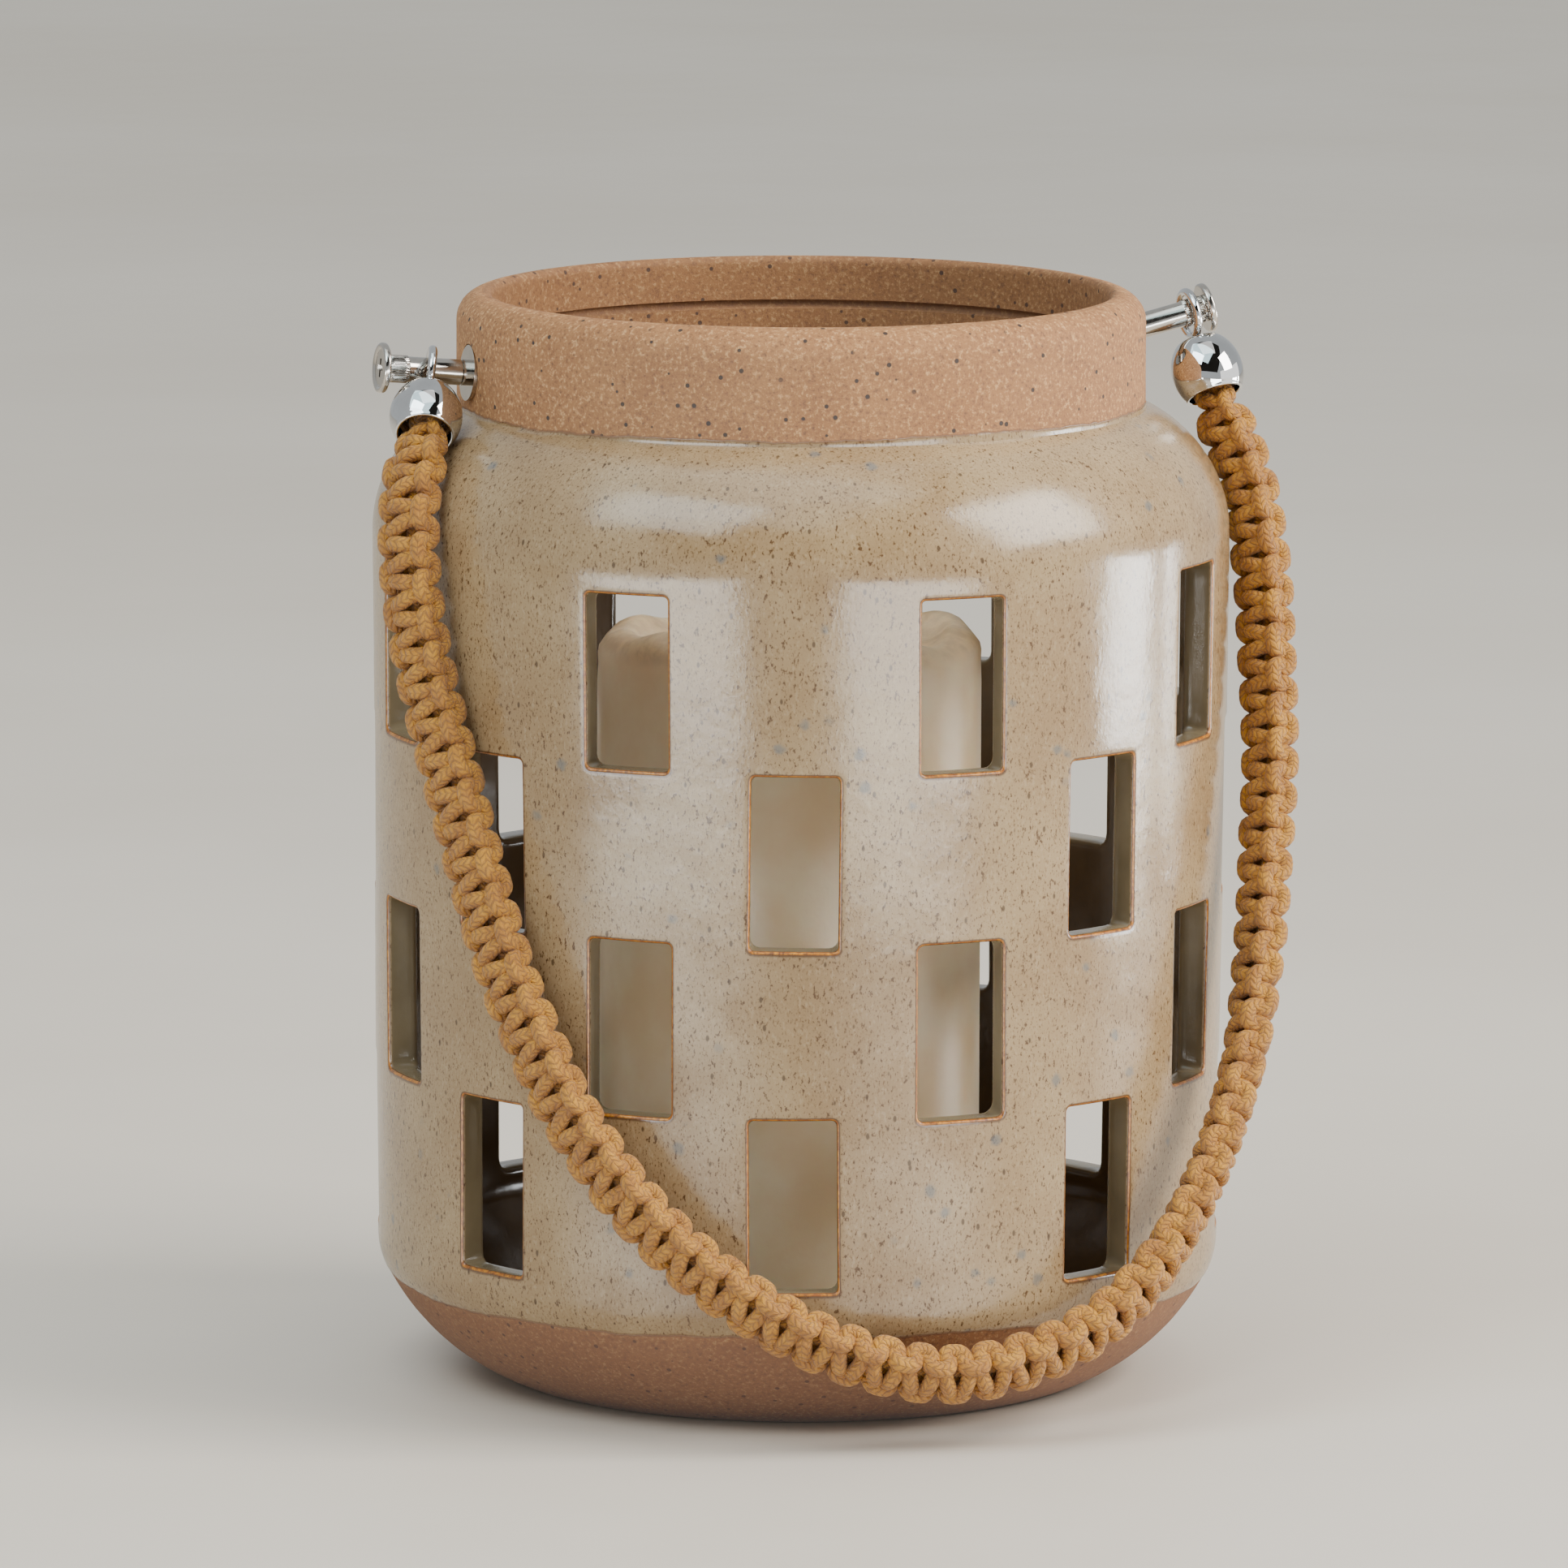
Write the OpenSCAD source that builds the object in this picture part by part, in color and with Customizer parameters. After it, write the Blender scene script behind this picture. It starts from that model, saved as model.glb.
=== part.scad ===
// Hurricane candle lantern: a pierced stoneware pot with a pillar candle and a corded carrying handle.
// The origin is the centre of the foot, +Z is up, the handle posts lie along X and
// the cord of the handle hangs down the front, on the -Y side.

/* [Pot] */
// Height of the pot from the foot to the rim
pot_h = 212; // [210:1:220]
// Diameter of the wall just below the shoulder
body_dia = 166.6; // [164:0.2:168]
// How much narrower the wall is just above the base
body_taper = 2.4; // [0:0.2:4]
// Thickness of the wall
body_wall = 6; // [5:0.5:7]
// Thickness of the floor
floor_t = 8; // [6:0.5:10]
// Diameter of the foot that the pot stands on
foot_dia = 117; // [112:1:120]
// Radius of the curve from the foot to the wall
base_radius = 43.5; // [42:0.5:46]
// Angle at which that curve leaves the foot
foot_angle = 22.5; // [20:0.5:26]
// Radius that blends the curve into the wall
base_blend = 14; // [10:1:16]
// Radius of the round shoulder
shoulder_radius = 27; // [25:0.5:28]
// Depth of the shoulder's centre below the rim
shoulder_drop = 47; // [45:1:50]

/* [Neck] */
// Outside diameter of the neck
neck_dia = 134; // [130:0.5:136]
// Thickness of the neck
neck_wall = 7; // [6.5:0.5:8]
// Outer rounding of the rim
rim_round = 5.5; // [4:0.5:6]
// Inner rounding of the rim
lip_round = 1.5; // [1:0.5:2]
// Depth of the turned groove inside the neck, below the rim
groove_drop = 9.5; // [8:0.5:11]
// Radius of that groove
groove_radius = 0.9; // [0.5:0.1:1.2]

/* [Windows] */
// Width of a window
window_w = 17; // [12:0.5:20]
// Height of a window
window_h = 33.6; // [28:0.1:34]
// Radius of a window's corners
window_corner = 2; // [1:0.5:4]
// Windows in one row
window_cols = 8; // [6:1:8]
// Rows of windows
window_rows = 4; // [1:1:4]
// Depth of the top row's centres below the rim
window_drop = 66; // [65:1:68]
// Height from one row to the next
row_pitch = 33.3; // [32:0.1:34]
// Turn of the odd rows from the front
window_turn = 5; // [-20:0.5:20]

/* [Posts] */
// Depth of the left post's hole below the rim
left_post_drop = 14; // [11:0.5:16]
// Depth of the right post's hole below the rim
right_post_drop = 10; // [9:0.5:14]
// Upward tilt of the left post
left_tilt = 5; // [0:0.5:14]
// Upward tilt of the right post
right_tilt = 13.5; // [0:0.5:14]
// Diameter of the post sleeve
sleeve_dia = 5; // [4.8:0.1:5.2]
// Length of the post from the outer seat to its face
post_len = 18.5; // [17.5:0.1:22]
// Diameter of the post's head
head_dia = 9.8; // [9:0.1:12]
// Diameter of the outer washer
washer_dia = 10.8; // [9.5:0.1:12]
// Diameter of the screw's shank
screw_dia = 3.3; // [3:0.1:3.5]

/* [Handle] */
// Diameter of the knotted cord
cord_dia = 10; // [9:0.5:10]
// Length of a cord cap
cap_len = 11.6; // [11:0.1:13]
// Widest diameter of a cord cap
cap_dia = 14.1; // [14:0.1:15.5]
// Thickness of a cap's metal
cap_wall = 0.7; // [0.5:0.1:0.8]
// Bore of the ring eye that hangs on the post
eye_bore = 7.1; // [7:0.1:7.4]
// Thickness of the ring's wire
eye_wire = 1.7; // [1.4:0.1:1.8]

/* [Candle] */
// Diameter of the candle
candle_dia = 75; // [50:1:90]
// Height of the candle
candle_h = 138; // [60:1:150]
// Depth of the melted hollow in its top
pool_depth = 3; // [1:0.5:5]
// Thickness of the wick
wick_dia = 2.4; // [1.5:0.1:3]
// Height of the wick above the bottom of the hollow
wick_show = 8; // [4:0.5:12]

/* [Hidden] */
$fn = 96;

LEFT = -1;
RIGHT = 1;
cut = 1;

// Pot: radii and centres of the turned profile
body_r = body_dia/2;
low_r = body_r - body_taper/2;
neck_r = neck_dia/2;
neck_in_r = neck_r - neck_wall;
foot_r = foot_dia/2;
shoulder_c = [body_r - shoulder_radius, pot_h - shoulder_drop];
base_c = [foot_r - base_radius*sin(foot_angle), base_radius*cos(foot_angle)];
blend_x = low_r - base_blend;
blend_c = [blend_x, base_c.y - sqrt(pow(base_radius - base_blend, 2) - pow(blend_x - base_c.x, 2))];
blend_angle = atan2(blend_c.y - base_c.y, blend_c.x - base_c.x);
neck_angle = acos((neck_r - shoulder_c.x)/shoulder_radius);
shoulder_in_r = shoulder_radius - body_wall;
neck_in_angle = acos((neck_in_r - shoulder_c.x)/shoulder_in_r);
base_in_r = base_radius - body_wall;
floor_angle = asin((floor_t - base_c.y)/base_in_r);
window_back = 60;

// Posts: distances along the post's own axis, from its outer seat
washer_t = 0.8;
spacer_dia = sleeve_dia + 0.1;
spacer_len = 1.2;
sleeve_start = washer_t + spacer_len;
head_t = 1.4;
head_round = 0.45;
dish_depth = 0.35;
dish_rim = 1;
knurl_len = 4.3;
knurl_dia = sleeve_dia + 0.2;
sleeve_bore = screw_dia + 0.2;
sleeve_depth = 11.5;
screw_end = 12;
clay_hole = screw_dia + 0.9;
inner_washer_dia = washer_dia - 0.3;
screw_head_dia = 8.5;
screw_head_t = 2;
seat_play = 0.3;
recess_len = 4.2;
recess_w = 0.9;
recess_depth = 0.7;

// Handle: places of the rings along the posts, and the lean of the caps
left_ring_at = 8.3;
right_ring_at = 14.1;
left_lean = 15;
right_lean = 9;
left_forward = 51;
right_forward = 28;
ring_drop = 0.4;
ring_r = (eye_bore + eye_wire)/2;
cap_start = 6.1;
cap_end = cap_start + cap_len;
cap_middle = 12.65;
cap_half = 8.15;
cap_steps = 16;
cap_top_t = 0.8;
shank_dia = 2;
rivet_dia = 4;
rivet_t = 0.9;
binding_start = 10.5;
binding_end = 14.5;
binding_in = cord_dia/2 - 0.4;
binding_out = cord_dia/2 + 0.6;

// Cord: its middle line from the left cap to the right cap, and the normal of the plane it lies in
cord_lay = [0, cos(26), -sin(26)];
cord_sides = 10;
cord_end_r = cord_dia/2 - 0.7;
cord_route = [
    [-77.1, -6.8, 193.3], [-79.3, -13.1, 188.1], [-82.5, -18, 182.5], [-85, -23, 175.5], [-86, -26.5, 166],
    [-85.5, -29, 155], [-82, -34.5, 133], [-80, -38.5, 122], [-78, -43, 110.5],
    [-76, -47.5, 99.5], [-73.5, -52.5, 88], [-70, -58, 77], [-66, -63.5, 66], [-60.5, -68.5, 56],
    [-53.5, -73.5, 46], [-45, -78, 37], [-35.5, -82, 29.5], [-25, -85.5, 23], [-13, -88, 18],
    [0, -89.5, 15], [13, -89.5, 15.5], [25, -88, 18.5], [36, -85.5, 23.5], [46, -81.5, 31],
    [54.5, -76.5, 40], [61.5, -71.5, 50], [67.5, -66, 60.5], [72.5, -60, 71.5], [76, -54.5, 83],
    [79, -49, 95], [81.5, -43.5, 107], [84, -38, 119], [85.5, -33, 131], [86.5, -28, 143],
    [87.5, -23, 154], [87.5, -18.5, 165], [86.5, -14, 175], [84, -10, 184], [82, -7.5, 191], [81, -4.5, 197]];
cord_last = len(cord_route) - 1;

// Candle
candle_at = [-2, 0.5];
candle_edge = 3;
candle_foot_round = 1.5;
pool_rim = 6;
tab_dia = 20;
tab_t = 0.6;
collar_dia = 5;
collar_h = 4;
tab_play = 0.3;
pool_z = floor_t + candle_h - pool_depth;

// Points of an arc without its first one, so that arcs can follow each other
function arc(c, r, from, to, n) =
    [for (i = [1:n]) let (a = from + (to - from)*i/n) c + r*[cos(a), sin(a)]];

// Outline of a window, centred
function window_outline(corner_steps = 4) =
    [for (q = [0:3], i = [0:corner_steps])
        let (a = 90*q + 90*i/corner_steps)
        let (sx = q == 0 || q == 3 ? 1 : -1)
        let (sy = q < 2 ? 1 : -1)
        [sx*(window_w/2 - window_corner), sy*(window_h/2 - window_corner)]
            + window_corner*[cos(a), sin(a)]];

// Profile of the turned pot: up the outside, over the rim and down the inside
function pot_profile() = concat(
    [[0, 0], [foot_r, 0]],
    arc(base_c, base_radius, foot_angle - 90, blend_angle, 8),
    arc(blend_c, base_blend, blend_angle, 0, 4),
    [[body_r, shoulder_c.y]],
    arc(shoulder_c, shoulder_radius, 0, neck_angle, 12),
    [[neck_r, pot_h - rim_round]],
    arc([neck_r - rim_round, pot_h - rim_round], rim_round, 0, 90, 6),
    arc([neck_in_r + lip_round, pot_h - lip_round], lip_round, 90, 180, 4),
    [[neck_in_r, pot_h - groove_drop + groove_radius]],
    arc([neck_in_r, pot_h - groove_drop], groove_radius, 90, -90, 6),
    [shoulder_c + shoulder_in_r*[cos(neck_in_angle), sin(neck_in_angle)]],
    arc(shoulder_c, shoulder_in_r, neck_in_angle, 0, 10),
    [[low_r - body_wall, blend_c.y]],
    arc(blend_c, base_blend - body_wall, 0, blend_angle, 3),
    arc(base_c, base_in_r, blend_angle, floor_angle, 6),
    [[0, floor_t]]);

// Frame of a post: +Z runs outward along its axis, from the outer seat
function tilt(side) = side == LEFT ? left_tilt : right_tilt;
function post_drop(side) = side == LEFT ? left_post_drop : right_post_drop;
function seat_inset(side) = washer_dia/2*sin(tilt(side));
function clay_grip(side) = neck_wall - 2*seat_inset(side) - seat_play;
function post_seat(side) = [side*(neck_r - seat_inset(side)), 0, pot_h - post_drop(side)];
function post_axis(side) = [side*cos(tilt(side)), 0, sin(tilt(side))];

module post_frame(side) {
    translate(post_seat(side))
        rotate([0, side*(90 - tilt(side)), 0])
            children();
}

// Frame of a cap: +Z runs down along its axis, from the middle of the post
function ring_at(side) = side == LEFT ? left_ring_at : right_ring_at;
function lean(side) = side == LEFT ? left_lean : right_lean;
function forward(side) = side == LEFT ? left_forward : right_forward;

module cap_frame(side) {
    translate(post_seat(side) + ring_at(side)*post_axis(side))
        rotate([180 - forward(side), 0, 0])
            rotate([0, side*lean(side), 0])
                children();
}

// Flat ring, standing on z = from
module flat_ring(dia, bore, from, to) {
    translate([0, 0, from])
        difference() {
            cylinder(h = to - from, d = dia);
            translate([0, 0, -cut])
                cylinder(h = to - from + 2*cut, d = bore);
        }
}

// Cross recess cut down from z = top
module cross_recess(top) {
    for (turn = [0, 90])
        rotate([0, 0, turn])
            translate([-recess_len/2, -recess_w/2, top - recess_depth])
                cube([recess_len, recess_w, recess_depth + cut]);
}

// Pot
module window_cutters() {
    for (row = [0:window_rows - 1], col = [0:window_cols - 1]) {
        half_step = row % 2 == 0 ? 0 : -0.5;
        rotate([0, 0, window_turn + 360*(col + half_step)/window_cols])
            translate([0, 0, pot_h - window_drop - row*row_pitch])
                rotate([90, 0, 0])
                    translate([0, 0, window_back])
                        linear_extrude(body_r - window_back + cut)
                            polygon(window_outline());
    }
}

module post_hole(side) {
    grip = clay_grip(side);
    spot_dia = washer_dia + seat_play;
    post_frame(side) {
        translate([0, 0, -neck_wall - 3*cut])
            cylinder(h = neck_wall + 6*cut, d = clay_hole);
        cylinder(h = 4*cut, d = spot_dia);
        translate([0, 0, -grip - 5*cut])
            cylinder(h = 5*cut, d = spot_dia);
    }
}

module stoneware_pot() {
    color("#AA957A")
        difference() {
            rotate_extrude()
                polygon(pot_profile());
            window_cutters();
            post_hole(LEFT);
            post_hole(RIGHT);
        }
}

// Hardware of one handle post
module outer_washer(side) {
    color("#D8D8D6")
        post_frame(side)
            flat_ring(washer_dia, sleeve_bore, 0, washer_t);
}

module spacer(side) {
    color("#CFCFCD")
        post_frame(side)
            flat_ring(spacer_dia, sleeve_bore, washer_t, sleeve_start);
}

module head_blank() {
    r = head_dia/2;
    low = post_len - head_t;
    rotate_extrude()
        polygon(concat(
            [[0, low], [r - head_round, low]],
            arc([r - head_round, low + head_round], head_round, -90, 0, 4),
            [[r, post_len - head_round]],
            arc([r - head_round, post_len - head_round], head_round, 0, 90, 4),
            [[r - dish_rim, post_len], [r - 2*dish_rim, post_len - dish_depth], [0, post_len - dish_depth]]));
}

module post_sleeve(side) {
    color("#DCDCDA")
        post_frame(side)
            difference() {
                union() {
                    translate([0, 0, sleeve_start])
                        cylinder(h = post_len - head_t - sleeve_start, d = sleeve_dia);
                    translate([0, 0, post_len - head_t - knurl_len])
                        cylinder(h = knurl_len, d = knurl_dia);
                    head_blank();
                }
                translate([0, 0, sleeve_start - cut])
                    cylinder(h = sleeve_depth + cut, d = sleeve_bore);
                cross_recess(post_len - dish_depth);
            }
}

module post_screw(side) {
    head_z = -clay_grip(side) - washer_t - screw_head_t;
    color("#C9C9C6")
        post_frame(side)
            difference() {
                union() {
                    translate([0, 0, head_z])
                        cylinder(h = screw_head_t, d = screw_head_dia);
                    translate([0, 0, head_z + screw_head_t])
                        cylinder(h = screw_end - head_z - screw_head_t, d = screw_dia);
                }
                translate([0, 0, head_z])
                    mirror([0, 0, 1])
                        cross_recess(0);
            }
}

module inner_washer(side) {
    grip = clay_grip(side);
    color("#3A332C")
        post_frame(side)
            flat_ring(inner_washer_dia, sleeve_bore, -grip - washer_t, -grip);
}

module left_outer_washer() { outer_washer(LEFT); }
module left_spacer() { spacer(LEFT); }
module left_post_sleeve() { post_sleeve(LEFT); }
module left_post_screw() { post_screw(LEFT); }
module left_inner_washer() { inner_washer(LEFT); }
module right_outer_washer() { outer_washer(RIGHT); }
module right_spacer() { spacer(RIGHT); }
module right_post_sleeve() { post_sleeve(RIGHT); }
module right_post_screw() { post_screw(RIGHT); }
module right_inner_washer() { inner_washer(RIGHT); }

// Caps at the ends of the cord
function cap_r(s) = cap_dia/2*sqrt(1 - pow((s - cap_middle)/cap_half, 2));
function cap_side(from, to, inset) =
    [for (i = [0:cap_steps]) let (s = from + (to - from)*i/cap_steps) [cap_r(s) - inset, s]];

module cord_cap(side) {
    color("#D9D9D8")
        cap_frame(side)
            rotate_extrude()
                polygon(concat(
                    [[shank_dia/2 + 0.1, cap_start]],
                    cap_side(cap_start, cap_end, 0),
                    cap_side(cap_end, cap_start + cap_top_t, cap_wall),
                    [[shank_dia/2 + 0.1, cap_start + cap_top_t]]));
}

module cap_eye(side) {
    under_cap = cap_start + cap_top_t;
    color("#D2D2D0")
        cap_frame(side)
            union() {
                translate([0, 0, ring_drop])
                    rotate([0, 90, 0])
                        rotate_extrude()
                            translate([ring_r, 0])
                                circle(d = eye_wire);
                translate([0, 0, ring_drop + ring_r])
                    cylinder(h = under_cap + rivet_t/2 - ring_drop - ring_r, d = shank_dia);
                translate([0, 0, under_cap + 0.05])
                    cylinder(h = rivet_t, d = rivet_dia);
            }
}

module cord_binding(side) {
    color("#B8925A")
        cap_frame(side)
            flat_ring(2*binding_out, 2*binding_in, binding_start, binding_end);
}

module left_cord_cap() { cord_cap(LEFT); }
module left_cap_eye() { cap_eye(LEFT); }
module left_cord_binding() { cord_binding(LEFT); }
module right_cord_cap() { cord_cap(RIGHT); }
module right_cap_eye() { cap_eye(RIGHT); }
module right_cord_binding() { cord_binding(RIGHT); }

// Knotted cord: one tube swept along the route, thinner inside the caps
function unit(v) = v/norm(v);
function cord_along(i) = unit(cord_route[min(i + 1, cord_last)] - cord_route[max(i - 1, 0)]);
function cord_r(i) = i < 2 || i > cord_last - 2 ? cord_end_r : cord_dia/2;
function cord_ring(i) =
    let (t = cord_along(i))
    let (s = unit(cross(t, cord_lay)))
    let (u = cross(s, t))
    [for (k = [0:cord_sides - 1])
        let (a = 360*k/cord_sides)
        cord_route[i] + cord_r(i)*(cos(a)*s + sin(a)*u)];
function cord_quad(i, k) =
    let (a = i*cord_sides + k)
    let (b = i*cord_sides + (k + 1) % cord_sides)
    [[a, a + cord_sides, b], [b, a + cord_sides, b + cord_sides]];

module handle_cord() {
    color("#CBA368")
        polyhedron(
            points = [for (i = [0:cord_last]) each cord_ring(i)],
            faces = concat(
                [[for (k = [0:cord_sides - 1]) k]],
                [for (i = [0:cord_last - 1], k = [0:cord_sides - 1]) each cord_quad(i, k)],
                [[for (k = [cord_sides - 1:-1:0]) cord_last*cord_sides + k]]));
}

// Candle
module pillar_candle() {
    r = candle_dia/2;
    top = floor_t + candle_h;
    wick_r = wick_dia/2 + 0.1;
    collar_r = collar_dia/2 + tab_play;
    tab_r = tab_dia/2 + tab_play;
    tab_top = floor_t + tab_t + tab_play;
    collar_top = floor_t + collar_h + tab_play;
    color("#E6D9BE")
        translate([candle_at.x, candle_at.y, 0])
            rotate_extrude()
                polygon(concat(
                    [[tab_r, floor_t], [r - candle_foot_round, floor_t]],
                    arc([r - candle_foot_round, floor_t + candle_foot_round], candle_foot_round, -90, 0, 3),
                    [[r, top - candle_edge]],
                    arc([r - candle_edge, top - candle_edge], candle_edge, 0, 90, 5),
                    [[r - pool_rim, top - 0.5], [r - 2*pool_rim, pool_z], [wick_r, pool_z]],
                    [[wick_r, collar_top], [collar_r, collar_top], [collar_r, tab_top], [tab_r, tab_top]]));
}

module candle_wick() {
    color("#3B322A")
        translate([candle_at.x, candle_at.y, floor_t + tab_t])
            cylinder(h = pool_z + wick_show - floor_t - tab_t, d = wick_dia);
}

module wick_tab() {
    color("#B9B9B6")
        translate([candle_at.x, candle_at.y, floor_t])
            difference() {
                union() {
                    cylinder(h = tab_t, d = tab_dia);
                    cylinder(h = collar_h, d = collar_dia);
                }
                translate([0, 0, tab_t])
                    cylinder(h = collar_h, d = wick_dia);
            }
}

stoneware_pot();
left_outer_washer();
left_spacer();
left_post_sleeve();
left_post_screw();
left_inner_washer();
right_outer_washer();
right_spacer();
right_post_sleeve();
right_post_screw();
right_inner_washer();
left_cord_cap();
left_cap_eye();
left_cord_binding();
right_cord_cap();
right_cap_eye();
right_cord_binding();
handle_cord();
pillar_candle();
candle_wick();
wick_tab();
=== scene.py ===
"""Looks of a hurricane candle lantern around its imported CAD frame: a pierced stoneware pot, its candle,
the posts and caps of its handle, and the handle's sinnet of square knots. Metres, +Z up, front at -Y."""

import math
import random

import bmesh
import bpy
import numpy as np
from mathutils import Matrix, Vector


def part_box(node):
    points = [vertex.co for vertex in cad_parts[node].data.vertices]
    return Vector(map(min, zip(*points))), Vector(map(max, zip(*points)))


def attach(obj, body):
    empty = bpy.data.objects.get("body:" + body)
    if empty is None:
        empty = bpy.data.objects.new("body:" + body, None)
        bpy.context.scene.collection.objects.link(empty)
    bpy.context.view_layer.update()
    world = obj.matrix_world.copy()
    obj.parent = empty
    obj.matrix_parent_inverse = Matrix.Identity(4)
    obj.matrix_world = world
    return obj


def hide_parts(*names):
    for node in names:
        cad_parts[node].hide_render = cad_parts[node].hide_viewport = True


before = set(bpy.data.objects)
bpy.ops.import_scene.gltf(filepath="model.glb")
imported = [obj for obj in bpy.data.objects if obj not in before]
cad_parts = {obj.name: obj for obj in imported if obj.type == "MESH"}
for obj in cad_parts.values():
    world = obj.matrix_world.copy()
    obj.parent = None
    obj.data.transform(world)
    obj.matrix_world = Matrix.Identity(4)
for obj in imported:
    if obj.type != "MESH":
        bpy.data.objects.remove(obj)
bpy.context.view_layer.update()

MM = 0.001
LEFT, RIGHT = -1, 1
SIDE_NAMES = {LEFT: "left", RIGHT: "right"}


# ---------------------------------------------------------------- camera
CAMERA_AZIMUTH = -16.9
CAMERA_ELEVATION = 8.81
CAMERA_DISTANCE = 2.396
CAMERA_LENS = 281.45
CAMERA_TARGET = Vector((0, 0, 0.115))
CAMERA_SHIFT_X = -0.0099
CAMERA_ROLL = 0.19
SENSOR_WIDTH = 36


def direction(azimuth, elevation):
    """Unit vector at an azimuth from -Y towards +X and an elevation, in degrees."""
    a, e = math.radians(azimuth), math.radians(elevation)
    return Vector((math.sin(a) * math.cos(e), -math.cos(a) * math.cos(e), math.sin(e)))


def make_camera():
    data = bpy.data.cameras.new("camera")
    camera = bpy.data.objects.new("camera", data)
    bpy.context.scene.collection.objects.link(camera)
    data.lens = CAMERA_LENS
    data.sensor_width = SENSOR_WIDTH
    data.shift_x = CAMERA_SHIFT_X
    data.clip_start, data.clip_end = 0.1, 60
    back = direction(CAMERA_AZIMUTH, CAMERA_ELEVATION)
    camera.location = CAMERA_TARGET + back * CAMERA_DISTANCE
    roll = Matrix.Rotation(math.radians(CAMERA_ROLL), 3, "Z").to_quaternion()
    camera.rotation_mode = "QUATERNION"
    camera.rotation_quaternion = (-back).to_track_quat("-Z", "Y") @ roll
    bpy.context.scene.camera = camera


# ---------------------------------------------------------------- mesh helpers
def mesh_object(name, points, faces, smooth=True):
    mesh = bpy.data.meshes.new(name)
    mesh.from_pydata([tuple(p) for p in points], [], faces)
    mesh.update()
    mesh.validate()
    if smooth:
        mesh.shade_smooth()
    piece = bpy.data.objects.new(name, mesh)
    bpy.context.scene.collection.objects.link(piece)
    return piece


def float_attribute(piece, name, values):
    made = piece.data.attributes.new(name, "FLOAT", "POINT")
    made.data.foreach_set("value", np.asarray(values, np.float32))


def arc(centre, radius, start, end, steps):
    """Points of an arc without its first one, so that arcs can follow each other."""
    made = []
    for i in range(1, steps + 1):
        a = math.radians(start + (end - start) * i / steps)
        made.append((centre[0] + radius * math.cos(a), centre[1] + radius * math.sin(a)))
    return made


def revolve(profile, segments, radius_at=None):
    """Rings of a profile of (radius, height) in millimetres, as (points in metres, quads). Poles close."""
    points, faces, rings = [], [], []
    for i, (r, z) in enumerate(profile):
        if r < 1e-6:
            rings.append([len(points)] * segments)
            points.append((0, 0, z * MM))
            continue
        ring = []
        for k in range(segments):
            a = 2 * math.pi * k / segments
            rk = r if radius_at is None else radius_at(i, r, a)
            ring.append(len(points))
            points.append((rk * math.cos(a) * MM, rk * math.sin(a) * MM, z * MM))
        rings.append(ring)
    for low, high in zip(rings, rings[1:]):
        faces += bridge(low, high)
    return points, faces


def bridge(low, high):
    """Quads between two closed rings of point numbers, or triangles where two of the points are one."""
    faces = []
    for k in range(len(low)):
        n = (k + 1) % len(low)
        face = tuple(dict.fromkeys((low[k], low[n], high[n], high[k])))
        if len(face) > 2:
            faces.append(face)
    return faces


def placed(name, points, faces, matrix, body, material, replaces=(), smooth=True):
    """A finished piece: made in its own frame, set by matrix, riding on its body."""
    moved = [matrix @ Vector(p) for p in points]
    piece = mesh_object(name, moved, faces, smooth)
    piece.data.materials.append(material)
    finish_piece(piece, body, replaces)
    return piece


def finish_piece(piece, body, replaces=()):
    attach(piece, body)
    if replaces:
        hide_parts(*replaces)


def cut_with(piece, cutter):
    """Cuts cutter out of piece and removes it."""
    cut = piece.modifiers.new("cut", "BOOLEAN")
    cut.operation = "DIFFERENCE"
    cut.solver = "EXACT"
    cut.object = cutter
    graph = bpy.context.evaluated_depsgraph_get()
    mesh = bpy.data.meshes.new_from_object(piece.evaluated_get(graph), depsgraph=graph)
    piece.modifiers.clear()
    piece.data = mesh
    bpy.data.objects.remove(cutter)


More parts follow.
